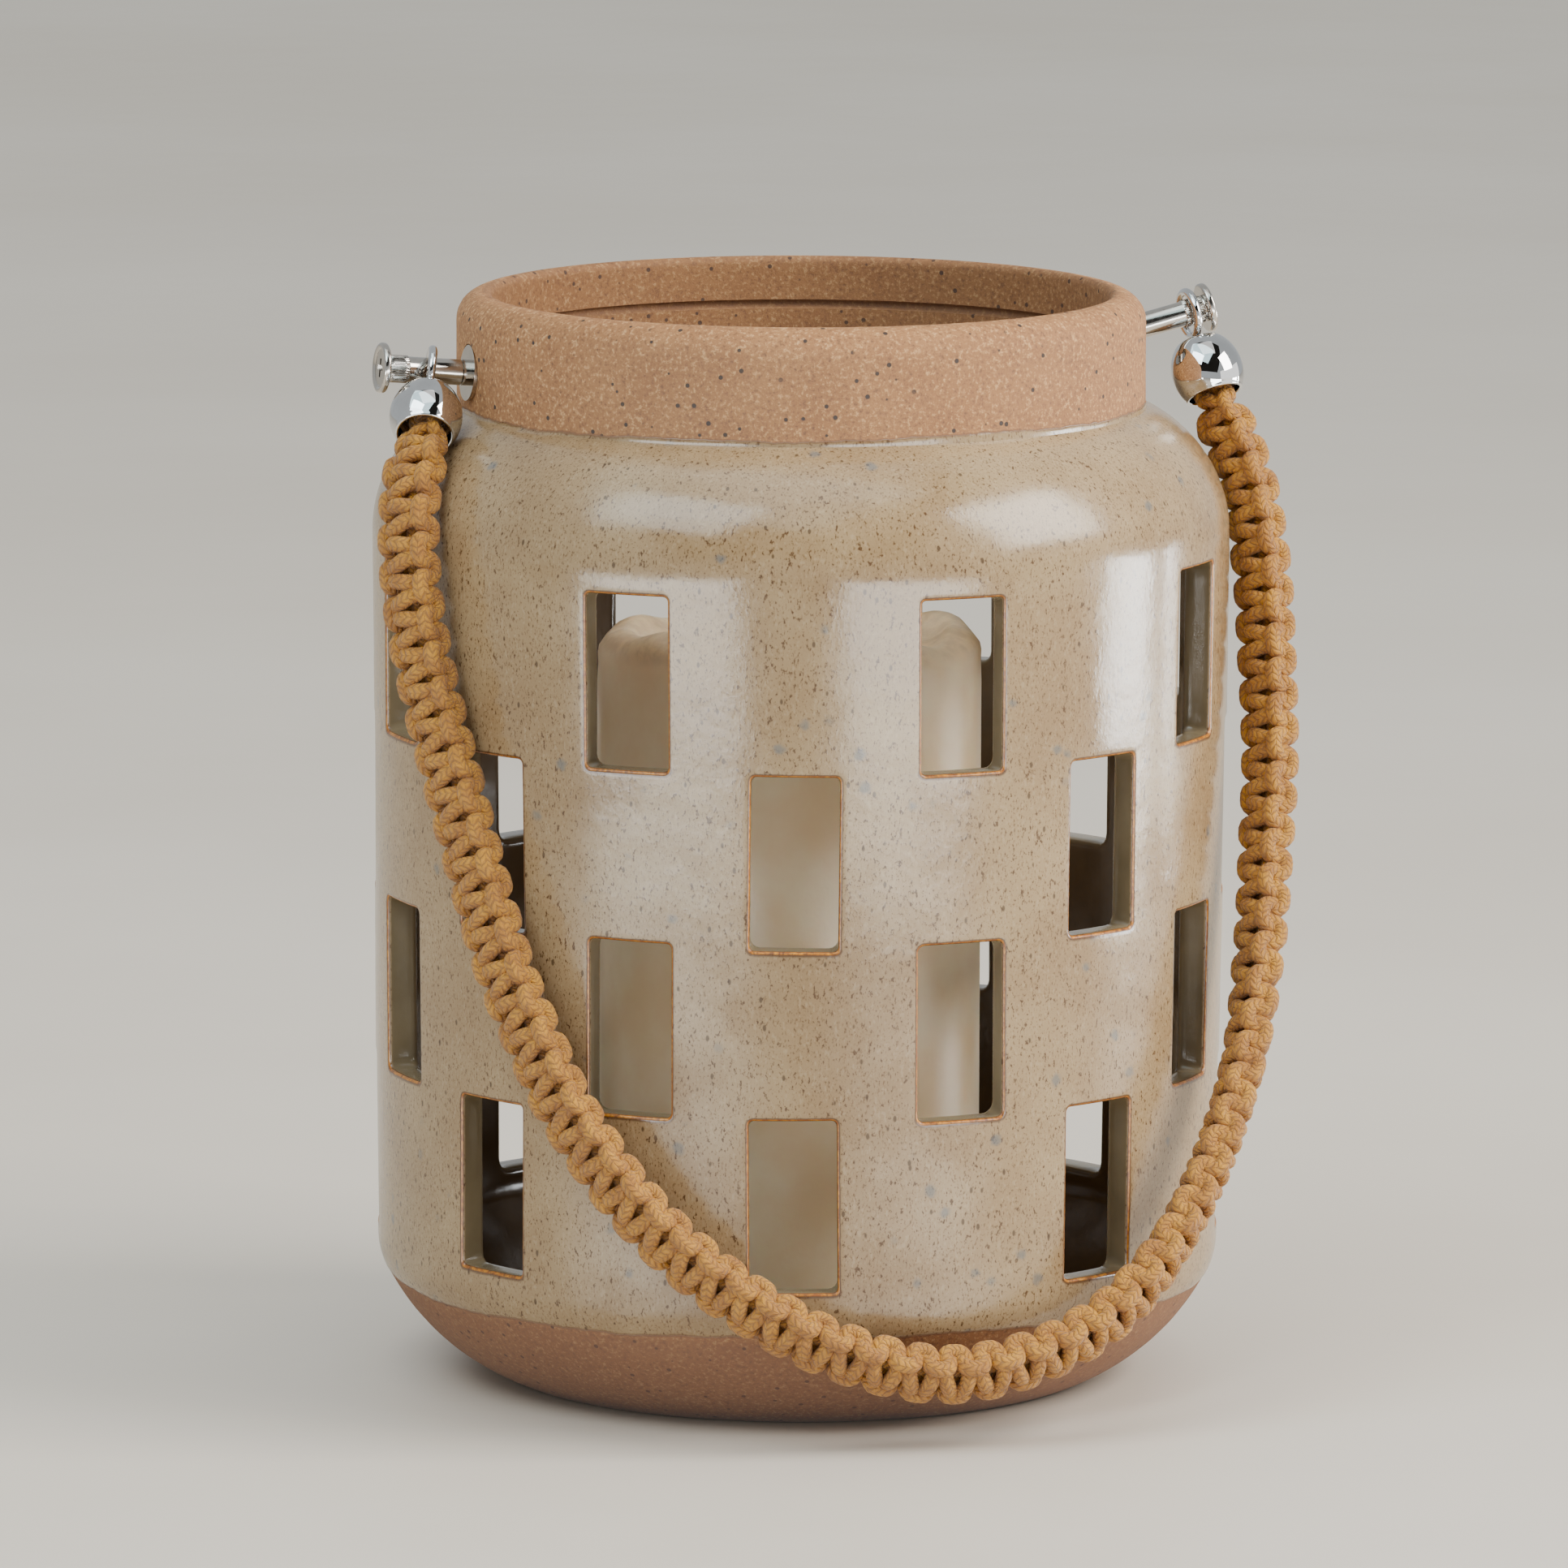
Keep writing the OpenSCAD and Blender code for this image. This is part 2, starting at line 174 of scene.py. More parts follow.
# ---------------------------------------------------------------- shader helpers
class Shader:
    """A material and short calls for its nodes."""

    def __init__(self, name):
        self.material = bpy.data.materials.new(name)
        self.material.use_nodes = True
        self.tree = self.material.node_tree
        self.tree.nodes.clear()
        self.output = self.tree.nodes.new("ShaderNodeOutputMaterial")
        self.surface = self.tree.nodes.new("ShaderNodeBsdfPrincipled")
        self.link(self.surface.outputs["BSDF"], self.output.inputs["Surface"])

    def link(self, source, target):
        self.tree.links.new(source, target)

    def feed(self, socket, value):
        if isinstance(value, bpy.types.NodeSocket):
            self.link(value, socket)
        else:
            socket.default_value = value

    def set(self, **values):
        for name, value in values.items():
            self.feed(self.surface.inputs[name.replace("_", " ")], value)

    def position(self):
        return self.tree.nodes.new("ShaderNodeTexCoord").outputs["Object"]

    def height(self):
        split = self.tree.nodes.new("ShaderNodeSeparateXYZ")
        self.link(self.position(), split.inputs[0])
        return split.outputs["Z"]

    def attribute(self, name):
        node = self.tree.nodes.new("ShaderNodeAttribute")
        node.attribute_name = name
        return node.outputs["Fac"]

    def scaled(self, vector, scale):
        node = self.tree.nodes.new("ShaderNodeMapping")
        node.inputs["Scale"].default_value = scale
        self.link(vector, node.inputs["Vector"])
        return node.outputs["Vector"]

    def noise(self, vector, scale, detail=2.0, rough=0.5):
        node = self.tree.nodes.new("ShaderNodeTexNoise")
        node.inputs["Scale"].default_value = scale
        node.inputs["Detail"].default_value = detail
        node.inputs["Roughness"].default_value = rough
        self.link(vector, node.inputs["Vector"])
        return node.outputs["Fac"]

    def cells(self, vector, scale):
        """Distance from the nearest of many scattered points."""
        node = self.tree.nodes.new("ShaderNodeTexVoronoi")
        node.inputs["Scale"].default_value = scale
        self.link(vector, node.inputs["Vector"])
        return node.outputs["Distance"]

    def math(self, operation, a, b=0.0):
        node = self.tree.nodes.new("ShaderNodeMath")
        node.operation = operation
        self.feed(node.inputs[0], a)
        self.feed(node.inputs[1], b)
        return node.outputs[0]

    def times(self, a, b):
        return self.math("MULTIPLY", a, b)

    def plus(self, a, b):
        return self.math("ADD", a, b)

    def near(self, value, middle):
        """Distance of value from middle."""
        return self.math("ABSOLUTE", self.math("SUBTRACT", value, middle))

    def paint(self, ground, share, strength, tint):
        """Ground with a display colour over it by share, up to strength."""
        return self.mix(self.times(share, strength), ground, colour(*tint))

    def step(self, value, low, high):
        """0 below low, 1 above high, smooth between. A low above high turns it round."""
        node = self.tree.nodes.new("ShaderNodeMapRange")
        node.interpolation_type = "SMOOTHSTEP"
        self.feed(node.inputs["Value"], value)
        flip = low > high
        node.inputs["From Min"].default_value = min(low, high)
        node.inputs["From Max"].default_value = max(low, high)
        node.inputs["To Min"].default_value = 1.0 if flip else 0.0
        node.inputs["To Max"].default_value = 0.0 if flip else 1.0
        return node.outputs["Result"]

    def blend(self, share, a, b, kind="FLOAT"):
        node = self.tree.nodes.new("ShaderNodeMix")
        node.data_type = kind
        for name, value in (("Factor", share), ("A", a), ("B", b)):
            self.feed(node.inputs[name], value)
        return node.outputs["Result"]

    def mix(self, share, a, b):
        return self.blend(share, a, b, "RGBA")

    def two_tone(self, noise, low, high, a, b):
        """One display colour below low and another above high."""
        return self.mix(self.step(noise, low, high), colour(*a), colour(*b))

    def bump(self, height, distance, strength=1.0):
        node = self.tree.nodes.new("ShaderNodeBump")
        node.inputs["Distance"].default_value = distance
        node.inputs["Strength"].default_value = strength
        self.link(height, node.inputs["Height"])
        self.link(node.outputs["Normal"], self.surface.inputs["Normal"])


def colour(r, g, b):
    """Linear colour from a display colour of 0 to 255."""
    def linear(v):
        v /= 255
        return v / 12.92 if v <= 0.04045 else ((v + 0.055) / 1.055) ** 2.4
    return (linear(r), linear(g), linear(b), 1.0)


# ---------------------------------------------------------------- handle cord
# The cord's middle line in metres, the same points as the CAD tube's
CORD_ROUTE = [
    (-0.0771, -0.0068, 0.1933), (-0.0793, -0.0131, 0.1881), (-0.0825, -0.018, 0.1825),
    (-0.085, -0.023, 0.1755), (-0.086, -0.0265, 0.166), (-0.0855, -0.029, 0.155), (-0.082, -0.0345, 0.133),
    (-0.080, -0.0385, 0.122), (-0.078, -0.043, 0.1105), (-0.076, -0.0475, 0.0995), (-0.0735, -0.0525, 0.088),
    (-0.070, -0.058, 0.077), (-0.066, -0.0635, 0.066), (-0.0605, -0.0685, 0.056), (-0.0535, -0.0735, 0.046),
    (-0.045, -0.078, 0.037), (-0.0355, -0.082, 0.0295), (-0.025, -0.0855, 0.023), (-0.013, -0.088, 0.018),
    (0.0, -0.0895, 0.015), (0.013, -0.0895, 0.0155), (0.025, -0.088, 0.0185), (0.036, -0.0855, 0.0235),
    (0.046, -0.0815, 0.031), (0.0545, -0.0765, 0.040), (0.0615, -0.0715, 0.050), (0.0675, -0.066, 0.0605),
    (0.0725, -0.060, 0.0715), (0.076, -0.0545, 0.083), (0.079, -0.049, 0.095), (0.0815, -0.0435, 0.107),
    (0.084, -0.038, 0.119), (0.0855, -0.033, 0.131), (0.0865, -0.028, 0.143), (0.0875, -0.023, 0.154),
    (0.0875, -0.0185, 0.165), (0.0865, -0.014, 0.175), (0.084, -0.010, 0.184), (0.082, -0.0075, 0.191),
    (0.081, -0.0045, 0.197)]
KNOT_PITCH = 6.95 * MM
STRAND_RADIUS = 1.6 * MM
STRAND_SIDES = 12
STRAND_STEP = 0.62 * MM
# How far the sinnet's edge has turned from the inside of the loop towards the front, in degrees,
# at shares of the cord's length
FACE_TURN = [(0.0, 38), (0.4, 40), (0.5, 48), (0.58, 64), (0.66, 90), (0.75, 114), (0.88, 132), (1.0, 138)]
FACE_VIEW = direction(-16.9, 8.8)
KNOT_SHEAR = -0.12
# Half a knot of one working cord: along in pitches, then across and out in millimetres
WORKING_CORD = [
    (0.00, 4.0, -2.1), (0.20, 4.0, -1.9), (0.31, 3.7, -0.6), (0.345, 3.0, 0.9), (0.325, 1.7, 2.3),
    (0.25, 0.0, 2.8), (0.175, -1.7, 2.3), (0.155, -3.0, 0.9), (0.19, -3.7, -0.6), (0.30, -4.0, -1.9)]
# Near its ends the sinnet is drawn in, over a taper that starts inside the cap
CAP_DEPTH, CAP_TAPER = 6 * MM, 9 * MM
END_SPREAD, END_THICKNESS = 0.52, 0.72
END_GAP = 1.0 * MM
FILLER_OFFSETS, FILLER_RADIUS, FILLER_STEP, FILLER_GAP = (-1.1 * MM, 1.1 * MM), 1.35 * MM, 1.2 * MM, 0.5 * MM


def spline(knots, values, samples):
    """Natural cubic spline through values at knots, at samples, as numpy rows."""
    x, y = np.asarray(knots, float), np.asarray(values, float)
    n = len(x)
    h = np.diff(x)
    a = np.zeros((n, n))
    b = np.zeros((n, y.shape[1]))
    a[0, 0] = a[-1, -1] = 1
    for i in range(1, n - 1):
        a[i, i - 1 : i + 2] = h[i - 1], 2 * (h[i - 1] + h[i]), h[i]
        b[i] = 6 * ((y[i + 1] - y[i]) / h[i] - (y[i] - y[i - 1]) / h[i - 1])
    m = np.linalg.solve(a, b)
    s = np.asarray(samples, float)
    i = np.clip(np.searchsorted(x, s) - 1, 0, n - 2)
    t0, t1 = (x[i + 1] - s)[:, None], (s - x[i])[:, None]
    hi = h[i][:, None]
    return (m[i] * t0**3 + m[i + 1] * t1**3) / (6 * hi) + (y[i] / hi - m[i] * hi / 6) * t0 + (
        y[i + 1] / hi - m[i + 1] * hi / 6) * t1


class CordLine:
    """The smooth middle line of the cord, with a frame that follows the sinnet's face."""

    def __init__(self):
        route = np.array(CORD_ROUTE)
        knots = np.r_[0, np.cumsum(np.linalg.norm(np.diff(route, axis=0), axis=1))]
        fine = spline(knots, route, np.linspace(0, knots[-1], 2001))
        self.at = np.r_[0, np.cumsum(np.linalg.norm(np.diff(fine, axis=0), axis=1))]
        self.points = fine
        self.length = self.at[-1]
        self.along = np.gradient(fine, self.at, axis=0)
        self.along /= np.linalg.norm(self.along, axis=1)[:, None]

    def sample(self, values, distance):
        return np.stack([np.interp(distance, self.at, values[:, k]) for k in range(3)], axis=1)

    def place(self, distance, across, out):
        """Points at a distance along, across the sinnet and out from its face."""
        point, along = self.sample(self.points, distance), self.sample(self.along, distance)
        along /= np.linalg.norm(along, axis=1)[:, None]
        view = np.array(FACE_VIEW) - along * (along @ np.array(FACE_VIEW))[:, None]
        view /= np.linalg.norm(view, axis=1)[:, None]
        inner = np.cross(view, along)
        shares, angles = zip(*FACE_TURN)
        turn = np.radians(np.interp(distance / self.length, shares, angles))[:, None]
        edge = inner * np.cos(turn) + view * np.sin(turn)
        face = view * np.cos(turn) - inner * np.sin(turn)
        return point + edge * across[:, None] + face * out[:, None]


def working_cord(line, sign):
    """Centre points of a working cord of the sinnet, sign 1 across the front and -1 across the back."""
    start, end = END_GAP, line.length - END_GAP
    knots = int((end - start) / KNOT_PITCH)
    spare = (end - start - knots * KNOT_PITCH) / 2
    along, across, out = [], [], []
    for half in range(2 * knots):
        mirror = 1 if half % 2 == 0 else -1
        for u, s, n in WORKING_CORD:
            along.append(start + spare + (u + half / 2) * KNOT_PITCH)
            across.append(sign * mirror * s * MM)
            out.append(sign * n * MM)
    along, across, out = map(np.array, (along, across, out))
    rows = np.stack([along, across, out], axis=1)
    chord = np.r_[0, np.cumsum(np.linalg.norm(np.diff(rows, axis=0), axis=1))]
    count = int(chord[-1] / STRAND_STEP)
    return smooth_rows(chord, rows, np.linspace(0, chord[-1], count))


def smooth_rows(chord, rows, samples):
    """Catmull-Rom through rows at chord, at samples."""
    i = np.clip(np.searchsorted(chord, samples) - 1, 0, len(chord) - 2)
    p0, p1 = rows[np.maximum(i - 1, 0)], rows[i]
    p2, p3 = rows[i + 1], rows[np.minimum(i + 2, len(rows) - 1)]
    t = ((samples - chord[i]) / (chord[i + 1] - chord[i]))[:, None]
    square, cube = 2 * p0 - 5 * p1 + 4 * p2 - p3, 3 * p1 - p0 - 3 * p2 + p3
    return 0.5 * (2 * p1 + (p2 - p0) * t + square * t**2 + cube * t**3)


def tube(centres, radii, sides):
    """(points, quads, along, around) of a tube swept along centres, in metres."""
    t = np.gradient(centres, axis=0)
    t /= np.linalg.norm(t, axis=1)[:, None]
    u = np.cross(t[0], (0, 0, 1.0))
    u /= np.linalg.norm(u)
    frames = []
    for k in range(len(centres)):
        u = u - t[k] * (u @ t[k])
        u /= np.linalg.norm(u)
        frames.append((u.copy(), np.cross(t[k], u)))
    angles = 2 * np.pi * np.arange(sides) / sides
    points, along, around = [], [], []
    lengths = np.r_[0, np.cumsum(np.linalg.norm(np.diff(centres, axis=0), axis=1))]
    for c, r, (a, b), at in zip(centres, radii, frames, lengths):
        for angle in angles:
            points.append(c + r * (math.cos(angle) * a + math.sin(angle) * b))
            along.append(at)
            around.append(angle)
    rings = [range(k * sides, (k + 1) * sides) for k in range(len(centres))]
    faces = []
    for low, high in zip(rings, rings[1:]):
        faces += bridge(low, high)
    faces += [tuple(reversed(rings[0])), tuple(rings[-1])]
    return points, faces, along, around


def strand(line, rows, radius):
    """One strand of the sinnet: rows of along, across, out, drawn in towards the middle inside the caps."""
    along, across, out = rows.T
    end = np.minimum(along, line.length - along)
    free = np.clip((end - CAP_DEPTH) / CAP_TAPER, 0, 1)
    tight = END_SPREAD + (1 - END_SPREAD) * free
    sheared = np.clip(along + KNOT_SHEAR * across, 0, line.length)
    centres = line.place(sheared, across * tight, out * tight)
    radii = radius * (END_THICKNESS + (1 - END_THICKNESS) * free)
    return tube(centres, radii, STRAND_SIDES)


def make_cord(material):
    line = CordLine()
    strands = [(working_cord(line, sign), STRAND_RADIUS) for sign in (1, -1)]
    count = int(line.length / FILLER_STEP)
    for offset in FILLER_OFFSETS:
        along = np.linspace(FILLER_GAP, line.length - FILLER_GAP, count)
        strands.append((np.stack([along, np.full(count, offset), np.zeros(count)], axis=1), FILLER_RADIUS))
    points, faces, along, around = [], [], [], []
    for rows, radius in strands:
        p, f, a, o = strand(line, rows, radius)
        base = len(points)
        points += p
        faces += [tuple(v + base for v in face) for face in f]
        along += a
        around += o
    cord = mesh_object("knotted_cord", points, faces)
    layer = cord.data.uv_layers.new(name="strand")
    corner_vertex = np.zeros(len(cord.data.loops), int)
    cord.data.loops.foreach_get("vertex_index", corner_vertex)
    a, o = np.array(along)[corner_vertex], np.array(around)[corner_vertex]
    start = np.zeros(len(cord.data.polygons), int)
    total = np.zeros(len(cord.data.polygons), int)
    cord.data.polygons.foreach_get("loop_start", start)
    cord.data.polygons.foreach_get("loop_total", total)
    quads = start[total == 4]
    for k in (1, 2):
        wraps = o[quads + k] < o[quads] - math.pi
        o[quads[wraps] + k] += 2 * math.pi
    layer.data.foreach_set("uv", np.stack([a / MM, o / (2 * math.pi)], axis=1).astype(np.float32).ravel())
    cord.data.materials.append(material)
    finish_piece(cord, "handle", ["handle_cord"])
    return cord


def cord_material():
    """Waxed cotton braid: plaited yarns that run in chevrons, with fine fibres along them, and painted shade
    between the yarns.
    """
    s = Shader("waxed_braid")
    uv = s.tree.nodes.new("ShaderNodeUVMap")
    uv.uv_map = "strand"
    split = s.tree.nodes.new("ShaderNodeSeparateXYZ")
    s.link(uv.outputs["UV"], split.inputs[0])
    along, around = split.outputs["X"], split.outputs["Y"]
    position = s.position()
    wobble = s.times(s.math("SUBTRACT", s.noise(position, 700, 2), 0.5), 0.7)
    # Chevrons: each of four columns round the strand slants against its neighbours
    column = s.math("PINGPONG", s.times(around, 8.0), 1.0)
    row = s.plus(s.times(along, 0.95), s.times(column, 0.75))
    row = s.plus(row, wobble)
    yarn = s.math("PINGPONG", row, 0.5)
    yarn_hump = s.step(yarn, 0.02, 0.34)
    seam = s.step(s.near(column, 0.5), 0.5, 0.36)
    hump = s.times(yarn_hump, s.blend(0.35, seam, 1.0))
    fibres = s.noise(position, 5200, 3, 0.65)
    height = s.plus(s.times(hump, 0.75), s.times(fibres, 0.55))
    tone = s.noise(position, 260, 3, 0.6)
    base = s.two_tone(tone, 0.3, 0.72, (168, 106, 6), (206, 142, 14))
    # Painted shade: the colour darkens where the yarns dip, between them and along the seams
    yarn_gap_shade = s.paint(base, s.step(hump, 0.55, 0.05), 0.55, (104, 60, 16))
    light = s.paint(yarn_gap_shade, s.step(fibres, 0.56, 0.74), 0.45, (232, 176, 44))
    dark = s.paint(light, s.step(fibres, 0.42, 0.28), 0.5, (96, 54, 16))
    specks = s.step(s.cells(position, 900), 0.10, 0.05)
    s.set(Base_Color=s.paint(dark, specks, 0.4, (70, 44, 22)), Roughness=0.62)
    s.set(Sheen_Weight=0.18)
    s.set(Sheen_Roughness=0.5)
    s.set(Specular_IOR_Level=0.4)
    s.bump(height, 0.00035, 0.9)
    return s.material


# ---------------------------------------------------------------- stoneware pot, in millimetres
POT_SEED = 7
POT_HEIGHT = 212
BODY_RADIUS, LOW_RADIUS = 83.3, 82.1
WALL = 6
FLOOR = 8
FOOT_RADIUS = 58.5
BASE_RADIUS, BASE_BLEND = 43.5, 14
BASE_CENTRE = (41.85, 40.19)
BLEND_CENTRE = (68.1, 26.73)
BLEND_ANGLE, FOOT_ANGLE, FLOOR_ANGLE = -27.1, -67.5, -59.1
SHOULDER_RADIUS = 27
SHOULDER_CENTRE = (56.3, 165)
NECK_RADIUS, NECK_IN_RADIUS = 67, 60
NECK_ANGLE, NECK_IN_ANGLE = 66.7, 79.85
RIM_ROUND, LIP_ROUND = 5.5, 1.5
GROOVE_HEIGHT, GROOVE_RADIUS = 202.5, 0.9
WINDOW_ROWS = (146, 112.7, 79.4, 46.1)
WINDOW_TURN = 5
WINDOW_COLUMNS = 8
WINDOW_HALF = (8.5, 16.8)
WINDOW_CORNER = 2
EDGE_CORNER = 0.9
OUTER_FILLET, INNER_FILLET = 0.7, 1.5
TILE_TOP, TILE_SIDE, TILE_END = 29.3, 4, 22
GRID = 128
GLAZE_TOP, GLAZE_BOTTOM = 190.8, 20.4
GLAZE_THICK = 0.22
FOOT_FADE, CALM_SHARE = 6, 0.6
# The rim attribute is the distance out from a window's edge; far from any window it is one of these
FAR_OUTSIDE, FAR_INSIDE = 9, -8


def wall_radius(z, inner):
    """Radius of the outer or the inner skin at a height between the base curve and the neck."""
    inset = WALL if inner else 0
    if z < BLEND_CENTRE[1]:
        r = BASE_BLEND - inset
        return BLEND_CENTRE[0] + math.sqrt(r * r - (BLEND_CENTRE[1] - z) ** 2)
    if z <= SHOULDER_CENTRE[1]:
        share = (z - BLEND_CENTRE[1]) / (SHOULDER_CENTRE[1] - BLEND_CENTRE[1])
        return LOW_RADIUS + (BODY_RADIUS - LOW_RADIUS) * share - inset
    r = SHOULDER_RADIUS - inset
    return SHOULDER_CENTRE[0] + math.sqrt(r * r - (z - SHOULDER_CENTRE[1]) ** 2)


def glaze_edge(azimuth, z):
    """Distance in millimetres from the wavy edges of the glaze, above 0 where there is glaze."""
    a = math.radians(azimuth)
    top = GLAZE_TOP + 0.45 * math.sin(2 * a + 1) + 0.22 * math.sin(7 * a) + 0.1 * math.sin(23 * a)
    bottom = GLAZE_BOTTOM + 0.5 * math.sin(3 * a + 2) + 0.25 * math.sin(11 * a) + 0.12 * math.sin(29 * a)
    return max(-5, min(5, top - z, z - bottom))


def hand_made(azimuth, z):
    """Small unevenness of the thrown wall in millimetres."""
    a = math.radians(azimuth)
    ripple = 0.01 * math.sin(0.62 * z + 2 * math.sin(a))
    return ripple + 0.16 * math.sin(3 * a + 0.021 * z) + 0.10 * math.sin(5 * a - 0.045 * z + 1)


def outline(grow, depth):
    """Outline of a window grown by a distance, from its top middle towards +azimuth: 56 points.

    Its corners are crisp on the outer skin and soft at the inner one.
    """
    corner = EDGE_CORNER + (WINDOW_CORNER - EDGE_CORNER) * min(1, depth / (WALL / 2))
    w, h, r = WINDOW_HALF[0] + grow, WINDOW_HALF[1] + grow, corner + grow
    quarter = [((w - r) * i / 4, h) for i in range(4)]
    for i in range(5):
        a = math.radians(90 - 90 * i / 4)
        quarter.append((w - r + r * math.cos(a), h - r + r * math.sin(a)))
    quarter += [(w, (h - r) * (1 - i / 6)) for i in range(1, 7)]
    return closed_loop(quarter, quarter)


def closed_loop(top, bottom):
    """Whole loop from two quarters that run from the middle of an end to the middle of a side."""
    right = top + [(x, -z) for x, z in reversed(bottom[:-1])]
    left = [(-x, -z) for x, z in bottom[1:]] + [(-x, z) for x, z in reversed(top[1:-1])]
    return right + left


def tile_edge(row):
    """Edge of a window's tile, in degrees and millimetres from the window's middle: 56 points."""
    step = 180 / WINDOW_COLUMNS
    slanted = [(step * i / 12, TILE_TOP - (TILE_TOP - TILE_SIDE) * i / 12) for i in range(12)]
    slanted += [(step, TILE_SIDE), (step, TILE_SIDE / 2), (step, 0)]
    straight = [(step * i / 8, TILE_END) for i in range(9)]
    straight += [(step, z) for z in (16, 11, 7, TILE_SIDE, TILE_SIDE / 2, 0)]
    first, last = row == 0, row == len(WINDOW_ROWS) - 1
    return closed_loop(straight if first else slanted, straight if last else slanted)


class PotMesh:
    """Collects the pot's points with what the glaze needs to know about each."""

    def __init__(self):
        self.points, self.faces = [], []
        self.rim, self.glaze, self.up, self.inside = [], [], [], []

    def add(self, azimuth, z, r, rim, up=0.0, inside=0.0):
        a = math.radians(azimuth)
        self.points.append((r * math.sin(a) * MM, -r * math.cos(a) * MM, z * MM))
        self.rim.append(rim)
        self.up.append(up)
        self.glaze.append(min(5, GLAZE_TOP - z) if inside else glaze_edge(azimuth, z))
        self.inside.append(inside)
        return len(self.points) - 1

    def skin(self, azimuth, z, inner):
        """Radius of a skin with the hand-made unevenness, and the glaze's thickness outside."""
        if inner:
            return wall_radius(z, True)
        return wall_radius(z, False) + hand_made(azimuth, z) + glaze_step(azimuth, z)

    def rings(self, rings):
        for low, high in zip(rings, rings[1:]):
            self.faces += bridge(low, high)


def glaze_step(azimuth, z):
    share = max(0.0, min(1.0, (glaze_edge(azimuth, z) + 0.35) / 0.7))
    return GLAZE_THICK * share * share * (3 - 2 * share)


def window_tile(pot, row, middle, height, chance):
    """Outer skin, rounded reveal and inner skin of the wall round one window."""
    shift = (chance.uniform(-0.35, 0.35), chance.uniform(-0.4, 0.4))
    lean = math.radians(chance.uniform(-0.5, 0.5))
    swell = chance.uniform(-0.25, 0.2)
    edge = tile_edge(row)

    def spot(x, z):
        return (x * math.cos(lean) - z * math.sin(lean) + shift[0],
                x * math.sin(lean) + z * math.cos(lean) + shift[1])

    def ring(grow, depth, rim, share=0.0, inner=False):
        """Points round the window, moved by share towards the tile's edge."""
        made = []
        flat = outline(grow + swell, depth)
        for (x, z), (edge_a, edge_z) in zip(flat, edge):
            up = max(-1.0, min(1.0, (abs(z) - (WINDOW_HALF[1] - WINDOW_CORNER)) / WINDOW_CORNER))
            up = math.copysign(max(up, 0), z)
            x, z = spot(x, z)
            at_z = height + z + (edge_z - z) * share
            mid_a = middle + math.degrees(math.asin(x / BODY_RADIUS)) * (1 - share) + edge_a * share
            outer = pot.skin(mid_a, at_z, False)
            r = outer + (wall_radius(at_z, True) - outer) * depth / WALL
            at_a = middle + math.degrees(math.asin(x / r)) * (1 - share) + edge_a * share
            made.append(pot.add(at_a, at_z, r, rim, up, 1.0 if inner else 0.0))
        return made

    rings = [ring(1.9, 0, 1.9 + 6 * s, s) for s in (1.0, 0.75, 0.52, 0.32, 0.14)]
    rings += [ring(g, 0, g) for g in (1.9, 1.45)]
    for i in range(6):
        t = math.pi / 2 * i / 5
        grow = OUTER_FILLET * (1 - math.sin(t))
        depth = OUTER_FILLET * (1 - math.cos(t))
        rings.append(ring(grow, depth, grow - depth * 0.999))
    rings += [ring(0, d, -d) for d in (2.2, 3.5)]
    for i in range(5):
        t = math.pi / 2 * i / 4
        depth = WALL - INNER_FILLET * (1 - math.sin(t))
        rings.append(ring(INNER_FILLET * (1 - math.cos(t)), depth, -depth, inner=i == 4))
    rings += [ring(2.2, WALL, FAR_INSIDE, s, True) for s in (0.0, 0.3, 0.65, 1.0)]
    pot.rings(rings)


def unevenness(azimuth, z, r):
    """Unevenness of the turned parts: calm on the neck and under the base, none on top of the rim."""
    if r <= NECK_RADIUS - 1 and z >= POT_HEIGHT / 2:
        return 0
    uneven = (hand_made(azimuth, z) + glaze_step(azimuth, z)) * min(1, z / FOOT_FADE)
    calm = z > GLAZE_TOP + 3 or r < NECK_RADIUS - 1
    return uneven * CALM_SHARE if calm else uneven


def turned_shell(pot, profile, inner):
    """Rings of revolution on the tiles' grid; a radius of 0 closes the middle."""
    rim = FAR_INSIDE if inner else FAR_OUTSIDE
    rings = []
    for r, z in profile:
        if r < 1e-6:
            rings.append([pot.add(0, z, 0, rim, 0, float(inner))] * GRID)
            continue
        ring = []
        for k in range(GRID):
            azimuth = WINDOW_TURN + 360 * k / GRID
            uneven = 0 if inner else unevenness(azimuth, z, r)
            ring.append(pot.add(azimuth, z, r + uneven, rim, 0, float(inner)))
        rings.append(ring)
    pot.rings(rings)


def straight_rise(radius, start, end, step):
    count = max(1, round(abs(end - start) / step))
    return [(radius, start + (end - start) * i / count) for i in range(1, count + 1)]


